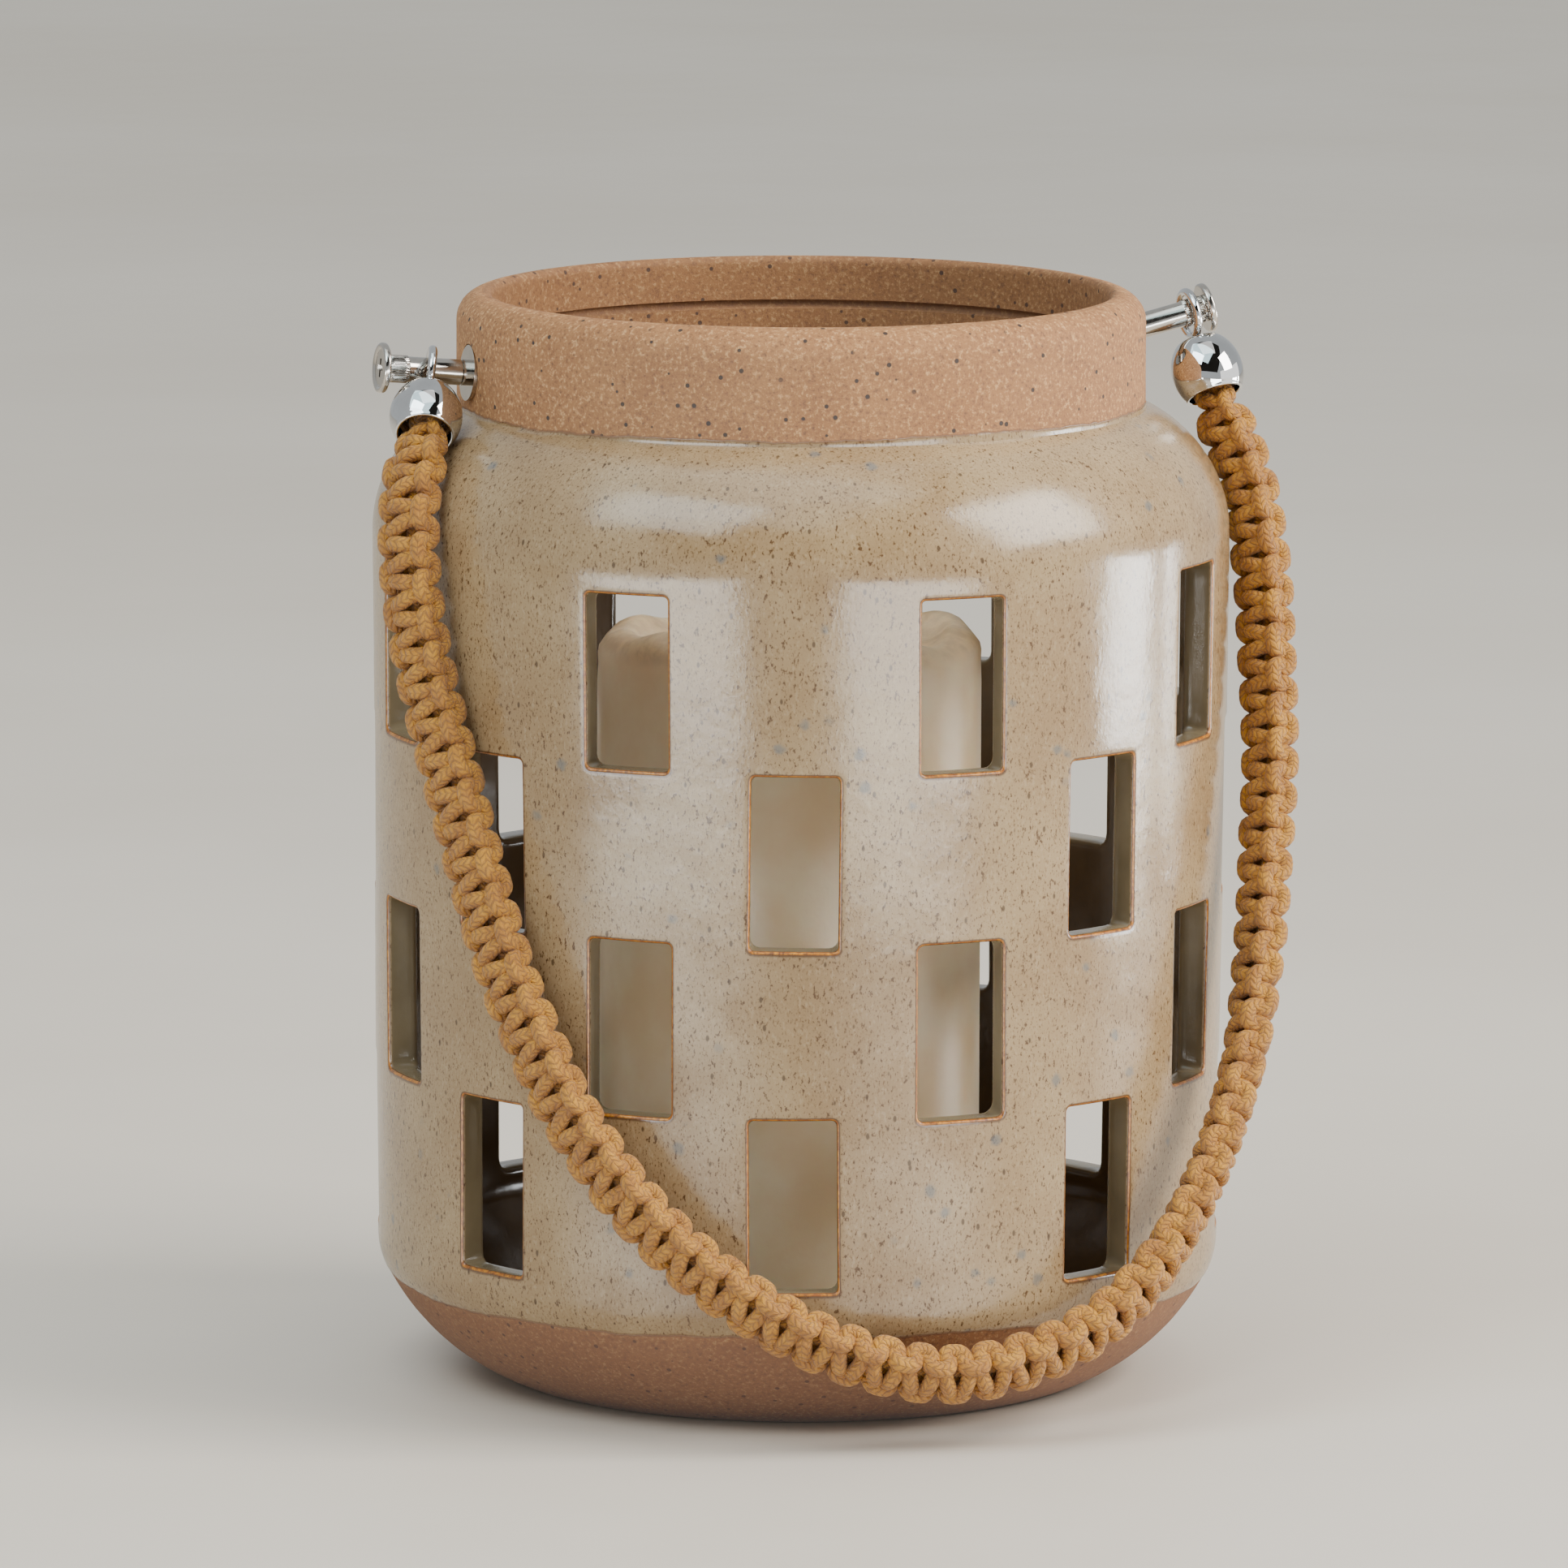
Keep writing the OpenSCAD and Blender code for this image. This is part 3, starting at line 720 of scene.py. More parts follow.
def outer_top_profile():
    """From the tiles' upper edge over the shoulder and neck, round the rim and down to the inner tiles."""
    start = math.degrees(math.asin((WINDOW_ROWS[0] + TILE_END - SHOULDER_CENTRE[1]) / SHOULDER_RADIUS))
    outer = [(wall_radius(WINDOW_ROWS[0] + TILE_END, False), WINDOW_ROWS[0] + TILE_END)]
    outer += arc(SHOULDER_CENTRE, SHOULDER_RADIUS, start, NECK_ANGLE, 20)
    outer += straight_rise(NECK_RADIUS, outer[-1][1], GLAZE_TOP + 1.5, 0.35)
    outer += straight_rise(NECK_RADIUS, GLAZE_TOP + 1.5, POT_HEIGHT - RIM_ROUND, 1.3)
    outer += arc((NECK_RADIUS - RIM_ROUND, POT_HEIGHT - RIM_ROUND), RIM_ROUND, 0, 90, 10)
    lip = (NECK_IN_RADIUS + LIP_ROUND, POT_HEIGHT - LIP_ROUND)
    inner = [(lip[0], POT_HEIGHT)] + arc(lip, LIP_ROUND, 90, 180, 5)
    inner += straight_rise(NECK_IN_RADIUS, lip[1], GROOVE_HEIGHT + GROOVE_RADIUS, 1.4)
    inner += arc((NECK_IN_RADIUS, GROOVE_HEIGHT), GROOVE_RADIUS, 90, -90, 6)
    r = SHOULDER_RADIUS - WALL
    neck_foot = SHOULDER_CENTRE[1] + r * math.sin(math.radians(NECK_IN_ANGLE))
    inner += straight_rise(NECK_IN_RADIUS, inner[-1][1], neck_foot, 1.5)
    end = math.degrees(math.asin((WINDOW_ROWS[0] + TILE_END - SHOULDER_CENTRE[1]) / r))
    inner += arc(SHOULDER_CENTRE, r, NECK_IN_ANGLE, end, 14)
    return outer, inner


def base_profiles():
    """From the tiles' lower edge round the base to the middle of the foot, and inside down to the floor."""
    z = WINDOW_ROWS[-1] - TILE_END
    outer = [(wall_radius(z, False), z)]
    start = math.degrees(math.asin((z - BLEND_CENTRE[1]) / BASE_BLEND))
    outer += arc(BLEND_CENTRE, BASE_BLEND, start, BLEND_ANGLE, 8)
    outer += arc(BASE_CENTRE, BASE_RADIUS, BLEND_ANGLE, FOOT_ANGLE, 26)
    outer += [(FOOT_RADIUS - 0.6, 0), (FOOT_RADIUS - 8, 0), (30, 0), (0, 0)]
    inner = [(wall_radius(z, True), z)]
    r = BASE_BLEND - WALL
    start = math.degrees(math.asin((z - BLEND_CENTRE[1]) / r))
    inner += arc(BLEND_CENTRE, r, start, BLEND_ANGLE, 4)
    inner += arc(BASE_CENTRE, BASE_RADIUS - WALL, BLEND_ANGLE, FLOOR_ANGLE, 8)
    inner += [(40, FLOOR), (20, FLOOR), (0, FLOOR)]
    return outer, inner


def make_pot(material):
    pot = PotMesh()
    chance = random.Random(POT_SEED)
    for row, height in enumerate(WINDOW_ROWS):
        for column in range(WINDOW_COLUMNS):
            turn = WINDOW_TURN + 360 * (column - (0.5 if row % 2 else 0)) / WINDOW_COLUMNS
            window_tile(pot, row, turn, height, chance)
    outer, inner = outer_top_profile()
    turned_shell(pot, outer, False)
    turned_shell(pot, [outer[-1]] + inner, True)
    outer, inner = base_profiles()
    turned_shell(pot, outer, False)
    turned_shell(pot, inner, True)
    piece = mesh_object("thrown_pot", pot.points, pot.faces)
    for name, values in (("rim", pot.rim), ("glaze", pot.glaze), ("up", pot.up), ("inside", pot.inside)):
        float_attribute(piece, name, values)
    work = bmesh.new()
    work.from_mesh(piece.data)
    bmesh.ops.remove_doubles(work, verts=work.verts, dist=0.02 * MM)
    bmesh.ops.recalc_face_normals(work, faces=work.faces)
    work.to_mesh(piece.data)
    work.free()
    for side in (LEFT, RIGHT):
        cut_with(piece, post_cutter(side))
    piece.data.shade_smooth()
    piece.data.set_sharp_from_angle(angle=math.radians(50))
    piece.data.materials.clear()
    piece.data.materials.append(material)
    finish_piece(piece, "pot", ["stoneware_pot"])
    return piece


def post_cutter(side):
    """Cutter for a post: a flat seat for each washer and the hole for the screw between them."""
    sunk = 2 * WASHER_RADIUS * math.sin(math.radians(POST_TILT[side]))
    grip = NECK_RADIUS - NECK_IN_RADIUS - sunk - SEAT_PLAY
    inside = (INNER_SEAT_RADIUS, -grip)
    profile = [(0, -grip - SEAT_REACH), (inside[0], -grip - SEAT_REACH), inside, (POST_HOLE_RADIUS, -grip)]
    profile += [(POST_HOLE_RADIUS, 0), (OUTER_SEAT_RADIUS, 0)]
    profile += [(OUTER_SEAT_RADIUS, SEAT_REACH), (0, SEAT_REACH)]
    points, faces = revolve(profile, 64)
    cutter = mesh_object("post_cutter", [post_matrix(side) @ Vector(v) for v in points], faces)
    for name, value in (("rim", FAR_OUTSIDE), ("glaze", -5), ("up", 0), ("inside", 0)):
        float_attribute(cutter, name, [value] * len(points))
    return cutter


# ---------------------------------------------------------------- handle posts, in millimetres
POST_TILT = {LEFT: 5, RIGHT: 13.5}
POST_HEIGHT = {LEFT: 198, RIGHT: 202}
WASHER_RADIUS = 5.4
SLEEVE_START, SLEEVE_END, HEAD_END = 2.0, 17.1, 18.5
SLEEVE_RADIUS, HEAD_RADIUS, HEAD_DISH = 2.5, 4.9, 0.35
KNURL_LENGTH, KNURL_TEETH, KNURL_DEPTH = 4.3, 36, 0.13
RECESS = (4.2, 0.9, 0.75)
RECESS_SLOPE = (0.72, 1.12)
SEAT_PLAY, SEAT_REACH = 0.3, 4
OUTER_SEAT_RADIUS, INNER_SEAT_RADIUS, POST_HOLE_RADIUS = 5.6, 5.5, 2.1


def post_matrix(side):
    """Frame of a post: +Z runs outward along its axis from its seat on the neck."""
    tilt = math.radians(POST_TILT[side])
    seat = Vector((side * (NECK_RADIUS - WASHER_RADIUS * math.sin(tilt)), 0, POST_HEIGHT[side])) * MM
    return Matrix.Translation(seat) @ Matrix.Rotation(side * (math.pi / 2 - tilt), 4, "Y")


def make_sleeve(side, material):
    """Sleeve of a post: plain barrel, straight knurl and a broad dished head with a cross recess."""
    knurl_start = SLEEVE_END - KNURL_LENGTH
    profile = [(0, SLEEVE_START), (SLEEVE_RADIUS - 0.25, SLEEVE_START)]
    profile += [(SLEEVE_RADIUS, SLEEVE_START + 0.25), (SLEEVE_RADIUS, knurl_start - 0.05)]
    profile += [(SLEEVE_RADIUS + 0.02, knurl_start)]
    first_tooth = len(profile)
    profile += [(SLEEVE_RADIUS + 0.1, knurl_start + 0.12 + (KNURL_LENGTH - 0.5) * i / 4) for i in range(5)]
    last_tooth = len(profile)
    profile += [(SLEEVE_RADIUS, SLEEVE_END - 0.2), (SLEEVE_RADIUS + 0.1, SLEEVE_END)]
    profile += [(HEAD_RADIUS - 0.5, SLEEVE_END)]
    profile += arc((HEAD_RADIUS - 0.5, SLEEVE_END + 0.5), 0.5, -90, 0, 5)
    profile += [(HEAD_RADIUS, HEAD_END - 0.5)] + arc((HEAD_RADIUS - 0.5, HEAD_END - 0.5), 0.5, 0, 90, 5)
    profile += [(HEAD_RADIUS - 0.9, HEAD_END), (HEAD_RADIUS - 1.15, HEAD_END - 0.12)]
    dish = HEAD_END - HEAD_DISH
    profile += [(HEAD_RADIUS - 1.35, HEAD_END - 0.32), (HEAD_RADIUS - 1.8, dish), (0, dish)]

    def toothed(i, r, a):
        if not first_tooth <= i < last_tooth:
            return r
        return r + KNURL_DEPTH * (abs(math.cos(KNURL_TEETH * a / 2)) - 0.35)

    points, faces = revolve(profile, KNURL_TEETH * 4, toothed)
    name = SIDE_NAMES[side] + "_sleeve"
    sleeve = mesh_object(name, points, faces)
    cutter = cross_cutter(dish - RECESS[2], HEAD_END + 1)
    cut_with(sleeve, cutter)
    sleeve.data.transform(post_matrix(side))
    sleeve.data.materials.clear()
    sleeve.data.materials.append(material)
    sleeve.data.shade_smooth()
    sleeve.data.set_sharp_from_angle(angle=math.radians(38))
    finish_piece(sleeve, "pot", [SIDE_NAMES[side] + "_post_sleeve"])


def cross_cutter(low, high):
    """Cross-shaped cutter with sloping ends, between two heights; a 1 in the outline is an arm's end."""
    long, wide = RECESS[0] / 2, RECESS[1] / 2
    cross = [(wide, wide), (wide, 1), (-wide, 1), (-wide, wide), (-1, wide), (-1, -wide),
             (-wide, -wide), (-wide, -1), (wide, -1), (wide, -wide), (1, -wide), (1, wide)]
    points = []
    for reach, z in ((long * RECESS_SLOPE[0], low), (long * RECESS_SLOPE[1], high)):
        for x, y in cross:
            x = math.copysign(reach, x) if abs(x) == 1 else x
            y = math.copysign(reach, y) if abs(y) == 1 else y
            points.append((x * MM, y * MM, z * MM))
    count = len(cross)
    lower, upper = list(range(count)), list(range(count, 2 * count))
    faces = [tuple(reversed(lower)), tuple(upper)] + bridge(lower, upper)
    return mesh_object("cross_cutter", points, faces, smooth=False)


# ---------------------------------------------------------------- cord bindings
RING_AT = {LEFT: 8.3, RIGHT: 14.1}
CAP_LEAN = {LEFT: 15, RIGHT: 9}
CAP_FORWARD = {LEFT: 51, RIGHT: 28}
BINDING = (10.5, 14.5)
THREAD_RADIUS, COIL_RADIUS = 0.45, 5.1


def cap_matrix(side):
    """Frame of a cap: +Z runs down along its axis from the middle of the post."""
    post = post_matrix(side)
    middle = post @ Vector((0, 0, RING_AT[side] * MM))
    return (Matrix.Translation(middle) @ Matrix.Rotation(math.radians(180 - CAP_FORWARD[side]), 4, "X")
            @ Matrix.Rotation(math.radians(side * CAP_LEAN[side]), 4, "Y"))


def cap_piece(side, part, points, faces, material, node):
    """A piece that hangs with a cap, from points in the cap's frame."""
    name = SIDE_NAMES[side] + "_"
    return placed(name + part, points, faces, cap_matrix(side), "handle", material, [name + node])


def make_binding(side, material):
    """Thread wound round the cord's end inside the cap."""
    height = BINDING[1] - BINDING[0] - 2 * THREAD_RADIUS
    turns = height / (2.1 * THREAD_RADIUS)
    steps = int(turns * 40)
    centres = []
    for i in range(steps + 1):
        a = 2 * math.pi * turns * i / steps
        z = BINDING[0] + THREAD_RADIUS + height * i / steps
        centres.append((COIL_RADIUS * math.cos(a) * MM, COIL_RADIUS * math.sin(a) * MM, z * MM))
    points, faces, _, _ = tube(np.array(centres), [THREAD_RADIUS * MM] * len(centres), 8)
    cap_piece(side, "whipping", points, faces, material, "cord_binding")


CAP_START, CAP_END, CAP_MIDDLE, CAP_HALF = 6.1, 17.7, 12.65, 8.15
CAP_RADIUS, CAP_WALL, CAP_TOP_WALL = 7.05, 0.7, 0.8
EYE_CENTRE, EYE_RADIUS, EYE_WIRE, EYE_STEPS = 0.4, 4.4, 0.85, 72
SHANK_RADIUS, RIVET_RADIUS = 1.0, 2.0


def cap_outside(place, inset=0.0):
    """Radius of the cap's barrel at a place along its axis."""
    return CAP_RADIUS * math.sqrt(1 - ((place - CAP_MIDDLE) / CAP_HALF) ** 2) - inset


def make_cap(side, material):
    """Drawn metal cap: barrel with a hole for the eye's shank, rolled mouth, open below."""
    top = CAP_START + CAP_TOP_WALL
    outer = [CAP_START + (CAP_END - CAP_START) * i / 30 for i in range(31)]
    profile = [(SHANK_RADIUS + 0.1, top), (SHANK_RADIUS + 0.1, CAP_START)]
    shoulder = cap_outside(CAP_START)
    profile += [(shoulder - 0.3, CAP_START), (shoulder - 0.05, CAP_START + 0.08)]
    profile += [(cap_outside(z), z) for z in outer[1:-1]]
    lip = (cap_outside(CAP_END - 0.35, CAP_WALL / 2), CAP_END - CAP_WALL / 2)
    profile += arc(lip, CAP_WALL / 2, 0, 180, 8)
    profile += [(cap_outside(z, CAP_WALL), z) for z in reversed(outer[3:-1])]
    profile += [(SHANK_RADIUS + 0.1, top)]
    points, faces = revolve(profile, 96)
    cap = cap_piece(side, "cap", points, faces, material, "cord_cap")
    cap.data.set_sharp_from_angle(angle=math.radians(50))


def make_eye(side, material):
    """Wire eye that hangs on the post, with its shank and the rivet head inside the cap."""
    centres = []
    for i in range(EYE_STEPS + 1):
        a = 2 * math.pi * i / EYE_STEPS
        centres.append((0, EYE_RADIUS * math.sin(a) * MM, EYE_CENTRE * MM + EYE_RADIUS * math.cos(a) * MM))
    points, faces, _, _ = tube(np.array(centres), [EYE_WIRE * MM] * len(centres), 20)
    start, cap_in = EYE_CENTRE + EYE_RADIUS, CAP_START + CAP_TOP_WALL
    shank = [(0, start), (SHANK_RADIUS, start), (SHANK_RADIUS, cap_in), (RIVET_RADIUS, cap_in)]
    shank += arc((0, cap_in), RIVET_RADIUS, 0, 60, 5) + [(0, cap_in + RIVET_RADIUS * 0.9)]
    more_points, more_faces = revolve(shank, 40)
    faces += [tuple(v + len(points) for v in face) for face in more_faces]
    points = list(points) + more_points
    cap_piece(side, "eye", points, faces, material, "cap_eye")


# ---------------------------------------------------------------- candle, in millimetres
CANDLE_MIDDLE = (-2, 0.5)
CANDLE_RADIUS = 37.5
CANDLE_TOP = 147.6
POOL_DEPTH = 4


def make_candle(material):
    """Pillar candle that has burned: an uneven rim that stands round a shallow pool."""
    top = CANDLE_TOP
    profile = [(0, FLOOR), (34, FLOOR), (36.2, FLOOR + 0.5), (37.3, FLOOR + 1.6)]
    profile += [(CANDLE_RADIUS, FLOOR + 3)]
    profile += straight_rise(CANDLE_RADIUS, FLOOR + 3, top - 12, 8)
    first_rim = len(profile)
    profile += [(37.6, top - 8), (37.5, top - 5.2), (37.2, top - 3.6), (36.5, top - 2.2), (35.4, top - 1.1),
                (33.8, top - 0.35), (32.2, top), (30.8, top - 0.5), (29.4, top - 1.8), (27.5, top - 2.9),
                (24, top - 3.6), (16, top - POOL_DEPTH), (8, top - POOL_DEPTH), (0, top - POOL_DEPTH)]

    def soft(i, r, a):
        if i < first_rim:
            return r
        return r * (1 + 0.008 * math.sin(3 * a + 1) + 0.006 * math.sin(8 * a + i)) - 0.25

    points, faces = revolve(profile, 96, soft)
    moved = []
    for x, y, z in points:
        a = math.atan2(y, x)
        share = max(0.0, min(1.0, (z / MM - (top - 10)) / 8)) * min(1.0, math.hypot(x, y) / MM / 30)
        wave = 0.9 * math.sin(2 * a + 0.6) + 0.7 * math.sin(5 * a + 2) + 0.45 * math.sin(11 * a) - 1.6
        moved.append((x, y, z + wave * share * MM))
    matrix = Matrix.Translation((CANDLE_MIDDLE[0] * MM, CANDLE_MIDDLE[1] * MM, 0))
    placed("wax_pillar", moved, faces, matrix, "candle", material, ["pillar_candle"])


def make_wick(material):
    """Bent, braided wick that has burned at its end."""
    low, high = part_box("candle_wick")
    count = 60
    centres, radii = [], []
    for i in range(count + 1):
        share = i / count
        z = low[2] + (high[2] - low[2]) * share
        bend = max(0.0, (share - 0.95) / 0.05)
        x = CANDLE_MIDDLE[0] * MM + 1.6 * MM * bend**2
        y = CANDLE_MIDDLE[1] * MM - 0.8 * MM * bend**2
        centres.append((x, y, z))
        radii.append(MM * (1.2 - 0.45 * bend + 0.06 * math.sin(i * 2.4)))
    points, faces, _, _ = tube(np.array(centres), radii, 12)
    placed("braided_wick", points, faces, Matrix.Identity(4), "candle", material, ["candle_wick"])


# ---------------------------------------------------------------- materials
def stoneware_material():
    """Speckled glossy glaze over raw sandy clay, rust lines round the windows, and painted shade that
    darkens the glaze in the reveals and inside.
    """
    s = Shader("speckled_stoneware")
    position = s.position()
    height = s.height()
    rim, up, glaze, inside = (s.attribute(name) for name in ("rim", "up", "glaze", "inside"))
    tall = s.scaled(position, (1, 1, 0.55))

    # Glaze: pale greige ground that lets dense brown flecks and a few blue-grey pools through
    cloud = s.noise(position, 34, 4, 0.6)
    ground = s.two_tone(cloud, 0.32, 0.68, (150, 124, 90), (168, 144, 108))
    fine = s.noise(tall, 2400, 3, 0.7)
    medium = s.noise(tall, 1200, 3, 0.65)
    flecked = s.paint(ground, s.step(fine, 0.54, 0.66), 0.65, (96, 66, 38))
    flecked = s.paint(flecked, s.step(medium, 0.585, 0.67), 0.75, (74, 46, 26))
    flecked = s.paint(flecked, s.step(medium, 0.44, 0.32), 0.25, (196, 176, 142))
    dots = s.step(s.cells(tall, 300), 0.13, 0.07)
    flecked = s.paint(flecked, dots, 0.75, (62, 42, 26))
    where = s.step(s.noise(position, 30, 2), 0.50, 0.58)
    ragged = s.plus(s.cells(position, 130), s.times(s.noise(position, 700, 2), 0.18))
    pools = s.times(s.step(ragged, 0.30, 0.16), where)
    glazed = s.paint(flecked, pools, 0.6, (92, 102, 108))

    # Clay: sandy brown with sparkling light grains and dark specks, and painted shade inside the pot and
    # along the neck's groove
    grain = s.noise(position, 1150, 4, 0.75)
    sand = s.noise(position, 90, 4, 0.65)
    clay = s.two_tone(sand, 0.25, 0.75, (154, 104, 59), (166, 116, 68))
    clay = s.paint(clay, s.step(grain, 0.51, 0.66), 0.7, (220, 176, 122))
    clay = s.paint(clay, s.step(grain, 0.47, 0.33), 0.7, (100, 62, 34))
    specks = s.step(s.cells(position, 290), 0.155, 0.115)
    specks = s.times(specks, s.step(s.noise(position, 140, 1), 0.30, 0.40))
    dust = s.step(s.cells(position, 620), 0.17, 0.11)
    clay = s.paint(clay, dust, 0.45, (84, 58, 40))
    clay = s.paint(clay, specks, 0.92, (36, 30, 30))
    low_clay = s.step(height, 0.024, 0.018)
    clay = s.paint(clay, low_clay, 0.6, (104, 60, 28))
    # Painted shade: the clay of the inner skin is darkened
    inner_clay_shade = s.times(inside, 0.45)
    clay = s.mix(inner_clay_shade, clay, colour(84, 52, 30))
    # Painted shade along the groove inside the neck
    neck_groove_shade = s.step(s.near(height, 0.2025), 0.0012, 0.0003)
    neck_groove_shade = s.times(neck_groove_shade, inside)
    clay = s.paint(clay, neck_groove_shade, 0.55, (90, 62, 44))

    # Edge of the glaze
    waver = s.times(s.math("SUBTRACT", s.noise(position, 420, 3), 0.5), 0.9)
    covered = s.step(s.plus(glaze, waver), -0.12, 0.12)
    edge_line = s.step(s.math("ABSOLUTE", s.plus(glaze, waver)), 0.45, 0.1)
    surface = s.mix(covered, clay, glazed)
    surface = s.paint(surface, edge_line, 0.6, (104, 66, 38))

    # Rust line where the glaze thins over the windows' rounded edges
    shake = s.times(s.math("SUBTRACT", s.noise(position, 520, 3, 0.6), 0.5), 0.35)
    lip = s.plus(rim, shake)
    sill = s.step(up, -0.4, -0.95)
    width = s.blend(sill, 0.34, 0.55)
    line = s.step(s.math("DIVIDE", s.near(lip, 0.12), width), 1.0, 0.4)
    fringe = s.step(s.math("DIVIDE", s.near(lip, 0.16), width), 2.0, 1.1)
    rust = s.two_tone(s.noise(position, 900, 3, 0.7), 0.35, 0.7, (150, 80, 4), (216, 142, 20))
    surface = s.paint(surface, fringe, 0.75, (78, 44, 26))
    ticks = s.times(s.step(s.noise(s.scaled(position, (1, 1, 0.12)), 1500, 1), 0.52, 0.62), sill)
    rust = s.paint(rust, ticks, 0.6, (66, 34, 16))
    surface = s.mix(s.times(line, 0.9), surface, rust)

    # Painted shade in the reveals and inside: darker copies of the glaze, darker deeper into the wall
    reveal = s.step(lip, -0.45, -0.95)
    shaded_reveal_glaze = s.two_tone(cloud, 0.3, 0.7, (110, 97, 74), (134, 119, 92))
    surface = s.mix(s.times(reveal, covered), surface, shaded_reveal_glaze)
    # Painted shade, darker still, on the inner part of the reveals and on the inner skin
    deep_shade_share = s.step(rim, -4.6, -6.2)
    shaded_chamber_glaze = s.two_tone(cloud, 0.3, 0.7, (76, 58, 38), (96, 75, 50))
    surface = s.mix(s.times(deep_shade_share, covered), surface, shaded_chamber_glaze)
    s.set(Base_Color=surface)

    matt = s.blend(s.step(grain, 0.3, 0.7), 0.72, 0.92)
    gloss = s.blend(s.step(cloud, 0.3, 0.7), 0.13, 0.22)
    s.set(Roughness=s.blend(covered, matt, s.blend(line, gloss, 0.32)))
    s.set(Specular_IOR_Level=0.5)
    glaze_wave = s.plus(s.times(s.noise(position, 120, 3), 0.6), s.times(medium, 0.16))
    clay_bump = s.plus(s.times(grain, 0.9), s.times(s.noise(position, 420, 3), 0.5))
    s.bump(s.blend(covered, clay_bump, glaze_wave), 0.00035, 0.55)
    return s.material


def metal_material(name, base, rough_low, rough_high, scale=900):
    """Plated metal with faint rubbing marks in its gloss."""
    s = Shader(name)
    position = s.position()
    rubbed = s.noise(s.scaled(position, (1, 1, 0.3)), scale, 3, 0.6)
    smudge = s.noise(position, 160, 3, 0.6)
    s.set(Base_Color=s.mix(s.step(smudge, 0.3, 0.75), base, tuple(v * 0.86 for v in base[:3]) + (1,)))
    s.set(Metallic=1.0)
    share = s.plus(s.times(rubbed, 0.5), s.times(smudge, 0.5))
    s.set(Roughness=s.blend(s.step(share, 0.35, 0.7), rough_low, rough_high))
    s.bump(rubbed, 0.00001, 0.1)
    return s.material


def wax_material():
    """Ivory wax with a scorched rim and faint clouding."""
    s = Shader("ivory_wax")
    position = s.position()
    height = s.height()
    cloud = s.noise(position, 60, 4, 0.55)
    wax = s.two_tone(cloud, 0.3, 0.7, (244, 214, 168), (252, 230, 192))
    edge = s.step(height, 0.1405, 0.1445)
    tone = s.step(s.noise(position, 240, 3, 0.6), 0.35, 0.65)
    scorched = s.times(edge, s.blend(tone, 0.12, 0.42))
    s.set(Base_Color=s.mix(scorched, wax, colour(150, 106, 62)))
    s.set(Subsurface_Weight=0.35)
    s.set(Subsurface_Radius=(0.012, 0.008, 0.004))
    s.set(Subsurface_Scale=0.6)
    s.set(Roughness=s.blend(s.step(cloud, 0.35, 0.65), 0.34, 0.5))
    s.bump(s.noise(position, 300, 3), 0.0003, 0.3)
    return s.material


def wick_material():
    """Cotton wick: pale below, charred above the wax."""
    s = Shader("charred_wick")
    position = s.position()
    yarn = s.noise(s.scaled(position, (1, 1, 0.25)), 3000, 2)
    base = s.mix(yarn, colour(196, 182, 152), colour(232, 222, 198))
    char = s.step(s.plus(s.height(), s.times(s.noise(position, 900, 2), 0.002)), 0.1445, 0.1475)
    s.set(Base_Color=s.mix(char, base, s.mix(yarn, colour(18, 15, 13), colour(52, 44, 38))), Roughness=0.9)
    s.bump(yarn, 0.0003, 0.8)
    return s.material


def fibre_material():
    """Red-brown pressed fibre of the inner washers."""
    s = Shader("pressed_fibre")
    position = s.position()
    fibres = s.noise(s.scaled(position, (1, 0.2, 1)), 1900, 4, 0.7)
    s.set(Base_Color=s.two_tone(fibres, 0.35, 0.7, (104, 52, 34), (140, 80, 54)), Roughness=0.75)
    s.bump(fibres, 0.0002, 0.5)
    return s.material


def thread_material():
    """Waxed linen thread, twisted."""
    s = Shader("waxed_thread")
    position = s.position()
    twist = s.noise(s.scaled(position, (1, 1, 2.2)), 2600, 3, 0.6)
    s.set(Base_Color=s.two_tone(twist, 0.35, 0.7, (134, 98, 56), (186, 146, 92)), Roughness=0.6)
    s.bump(twist, 0.00025, 0.7)
    return s.material


def dress_nodes(material, *nodes):
    """Gives carried-over CAD nodes a material."""
    for name in nodes:
        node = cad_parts[name]
        node.data.materials.clear()
        node.data.materials.append(material)


# ---------------------------------------------------------------- floor and light
FLOOR_SIZE, FLOOR_COUNT, FLOOR_DROP = 9.0, 8, -0.0002
LIGHT_AIM = Vector((0, 0, 0.1))
WORLD_TINT, WORLD_STRENGTH = (0.88, 0.92, 0.94, 1), 0.66
PANEL_DISTANCE = 0.8
PANEL_TINT = (0.94, 0.98, 1.0)
CARD_ELEVATION, CARD_DISTANCE = 58, 2.7
CARD_HALF_WIDTH, CARD_HALF_HEIGHT = 1.9, 2.3


def floor_material():
    s = Shader("pale_table")
    position = s.position()
    tone = s.noise(position, 3, 3, 0.5)
    s.set(Base_Color=s.two_tone(tone, 0.3, 0.7, (196, 186, 172), (202, 193, 180)))
    s.set(Roughness=s.blend(s.noise(position, 40, 2), 0.42, 0.55))
    return s.material


def make_floor():
    side = FLOOR_COUNT + 1
    points, faces = [], []
    for j in range(side):
        for i in range(side):
            x, y = i / FLOOR_COUNT - 0.5, j / FLOOR_COUNT - 0.5
            points.append((FLOOR_SIZE * x, FLOOR_SIZE * y, FLOOR_DROP))
            if i < FLOOR_COUNT and j < FLOOR_COUNT:
                corner = j * side + i
                faces.append((corner, corner + 1, corner + side + 1, corner + side))
    floor = mesh_object("floor", points, faces)
    floor.data.materials.append(floor_material())


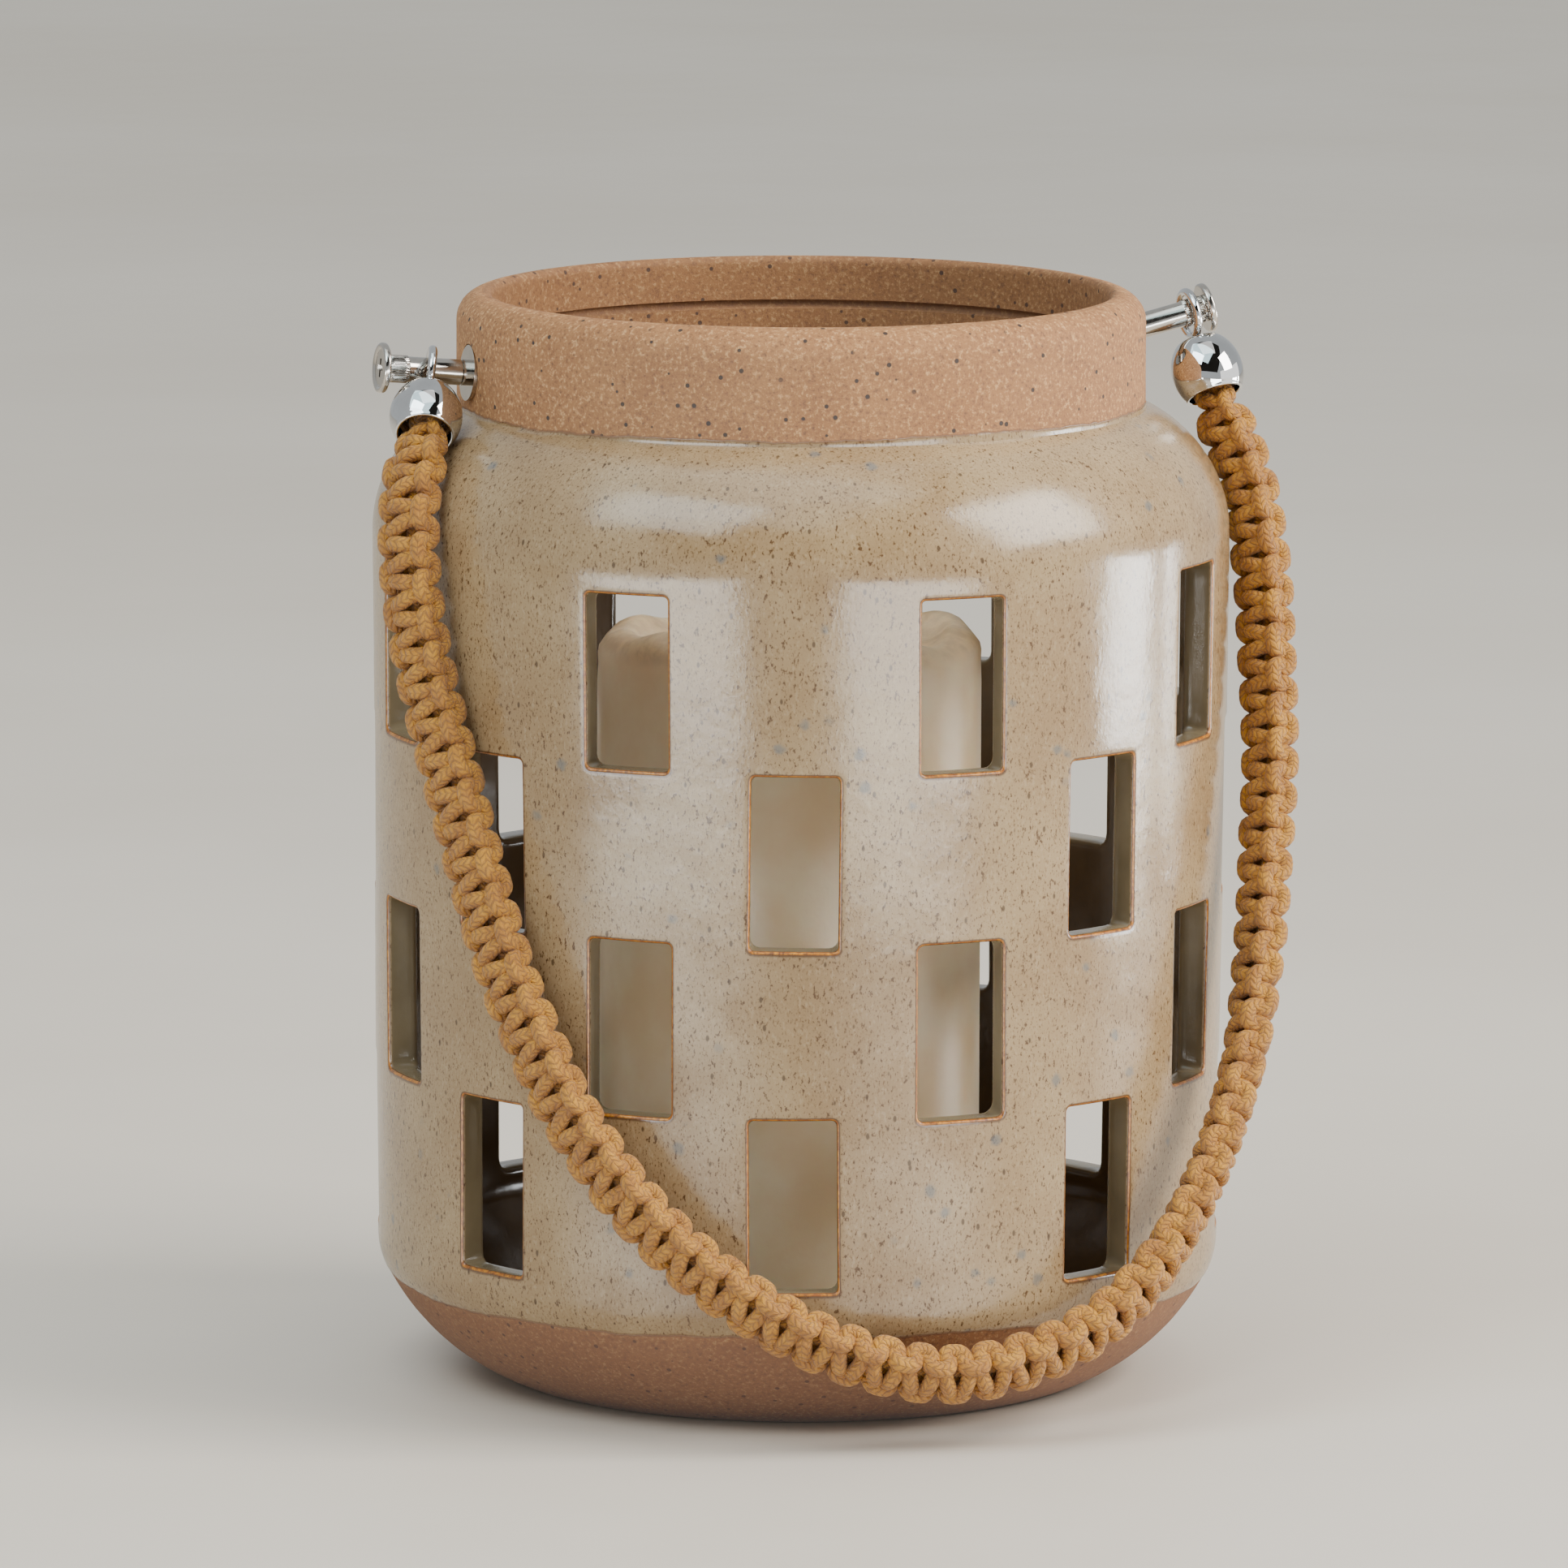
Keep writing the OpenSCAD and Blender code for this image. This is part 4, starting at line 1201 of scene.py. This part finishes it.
def area_light(name, location, aim, width, tall, watts, tint):
    data = bpy.data.lights.new(name, "AREA")
    data.shape = "RECTANGLE"
    data.size, data.size_y = width, tall
    data.energy = watts
    data.color = tint
    light = bpy.data.objects.new(name, data)
    bpy.context.scene.collection.objects.link(light)
    light.location = location
    light.rotation_euler = (aim - location).to_track_quat("-Z", "Y").to_euler()
    light.visible_camera = False
    return light


def softbox(name, azimuth, elevation, distance, width, tall, watts, tint):
    """Area light that faces the object."""
    place = LIGHT_AIM + direction(azimuth, elevation) * distance
    return area_light(name, place, LIGHT_AIM, width, tall, watts, tint)


def glaze_panel(name, azimuth, low, high, width, watts):
    """Upright panel beside the table; it reaches below the table's top."""
    middle = direction(azimuth, 0) * PANEL_DISTANCE + Vector((0, 0, (low + high) / 2))
    return area_light(name, middle, middle - direction(azimuth, 0), width, high - low, watts, PANEL_TINT)


def collection_of(name, pieces):
    made = bpy.data.collections.new(name)
    for piece in pieces:
        made.objects.link(piece)
    return made


def only_on(light, lit, blockers):
    """Light for one collection alone, which only the pieces of another can block."""
    light.light_linking.receiver_collection = lit
    light.light_linking.blocker_collection = blockers
    return light


def make_lights():
    """Studio light, and panels and fills that light or are mirrored in a few pieces alone."""
    world = bpy.data.worlds.new("studio")
    world.use_nodes = True
    bpy.context.scene.world = world
    background = world.node_tree.nodes["Background"]
    background.inputs["Color"].default_value = WORLD_TINT
    background.inputs["Strength"].default_value = WORLD_STRENGTH
    meshes = [p for p in bpy.context.scene.objects if p.type == "MESH"]
    pieces = [p for p in meshes if p.name not in ("floor", "dark_card")]
    lantern = collection_of("lantern_only", pieces)
    metal = collection_of("metal_only", [p for p in pieces if p.name.endswith(("_cap", "_eye", "_sleeve"))])
    candle = collection_of("candle_only", [p for p in pieces if p.name in ("wax_pillar", "braided_wick")])
    floor = collection_of("floor_only", [bpy.data.objects["floor"]])

    softbox("key", 56, 34, 1.6, 0.9, 0.9, 40, (1.0, 0.97, 0.93))
    softbox("sky_left", -58, 48, 1.3, 0.8, 0.6, 9, (0.84, 0.94, 1.0))
    softbox("top", 0, 80, 1.6, 1.0, 1.0, 3.5, (1.0, 0.98, 0.96))
    mirrored = [
        only_on(glaze_panel("left_window", -52, -0.30, 0.14, 0.60, 9), lantern, lantern),
        only_on(glaze_panel("front_window", 11, -0.30, 0.14, 0.50, 7.5), lantern, lantern),
        only_on(glaze_panel("right_window", 78, -0.05, 0.15, 0.24, 4), lantern, lantern),
        only_on(glaze_panel("right_strip", 96, -0.15, 0.15, 0.05, 1.2), lantern, lantern)]
    wash = area_light("floor_wash", Vector((0, 0, 5)), Vector((0, 0.001, 0)), 9, 9, 235, (0.93, 0.99, 1.0))
    only_on(wash, floor, None)
    only_on(softbox("candle_fill", -10, 32, 1.2, 0.7, 0.5, 1.7, (1.0, 0.95, 0.88)), candle, candle)
    mirrored += [
        only_on(softbox("metal_window", 62, 2, 1.9, 3.0, 1.3, 16, (1.0, 0.98, 0.94)), metal, lantern),
        only_on(softbox("sky_sheen", -48, 66, 1.0, 1.1, 0.8, 5, (0.72, 0.94, 1.0)), lantern, lantern)]
    for light in mirrored:
        light.visible_diffuse = False


def make_dark_card():
    """Dark ceiling above and behind the camera, which only reflections show."""
    middle = direction(CAMERA_AZIMUTH, CARD_ELEVATION) * CARD_DISTANCE
    across = direction(CAMERA_AZIMUTH + 90, 0) * CARD_HALF_WIDTH
    upward = direction(CAMERA_AZIMUTH, CARD_ELEVATION + 90) * CARD_HALF_HEIGHT
    corners = ((-1, -1), (1, -1), (1, 1), (-1, 1))
    points = [middle + across * x + upward * y for x, y in corners]
    card = mesh_object("dark_card", points, [(0, 1, 2, 3)], smooth=False)
    s = Shader("dark_cloth")
    weave = s.noise(s.position(), 20, 2)
    s.set(Base_Color=s.mix(weave, colour(18, 16, 16), colour(34, 30, 28)), Roughness=0.9)
    card.data.materials.append(s.material)
    card.visible_camera = False
    card.visible_shadow = False
    card.visible_diffuse = False


# ---------------------------------------------------------------- build
def build():
    make_camera()
    make_cord(cord_material())
    make_floor()
    make_dark_card()
    make_pot(stoneware_material())
    nickel = metal_material("brushed_nickel", colour(196, 190, 182), 0.10, 0.2)
    chrome = metal_material("mirror_chrome", colour(214, 214, 214), 0.02, 0.05)
    thread, fibre = thread_material(), fibre_material()
    for side in (LEFT, RIGHT):
        name = SIDE_NAMES[side]
        make_sleeve(side, nickel)
        make_binding(side, thread)
        dress_nodes(nickel, name + "_outer_washer", name + "_spacer", name + "_post_screw")
        dress_nodes(fibre, name + "_inner_washer")
        make_cap(side, chrome)
        make_eye(side, chrome)
    make_candle(wax_material())
    make_wick(wick_material())
    dress_nodes(metal_material("tinned_steel", colour(190, 190, 186), 0.25, 0.4), "wick_tab")
    make_lights()


build()
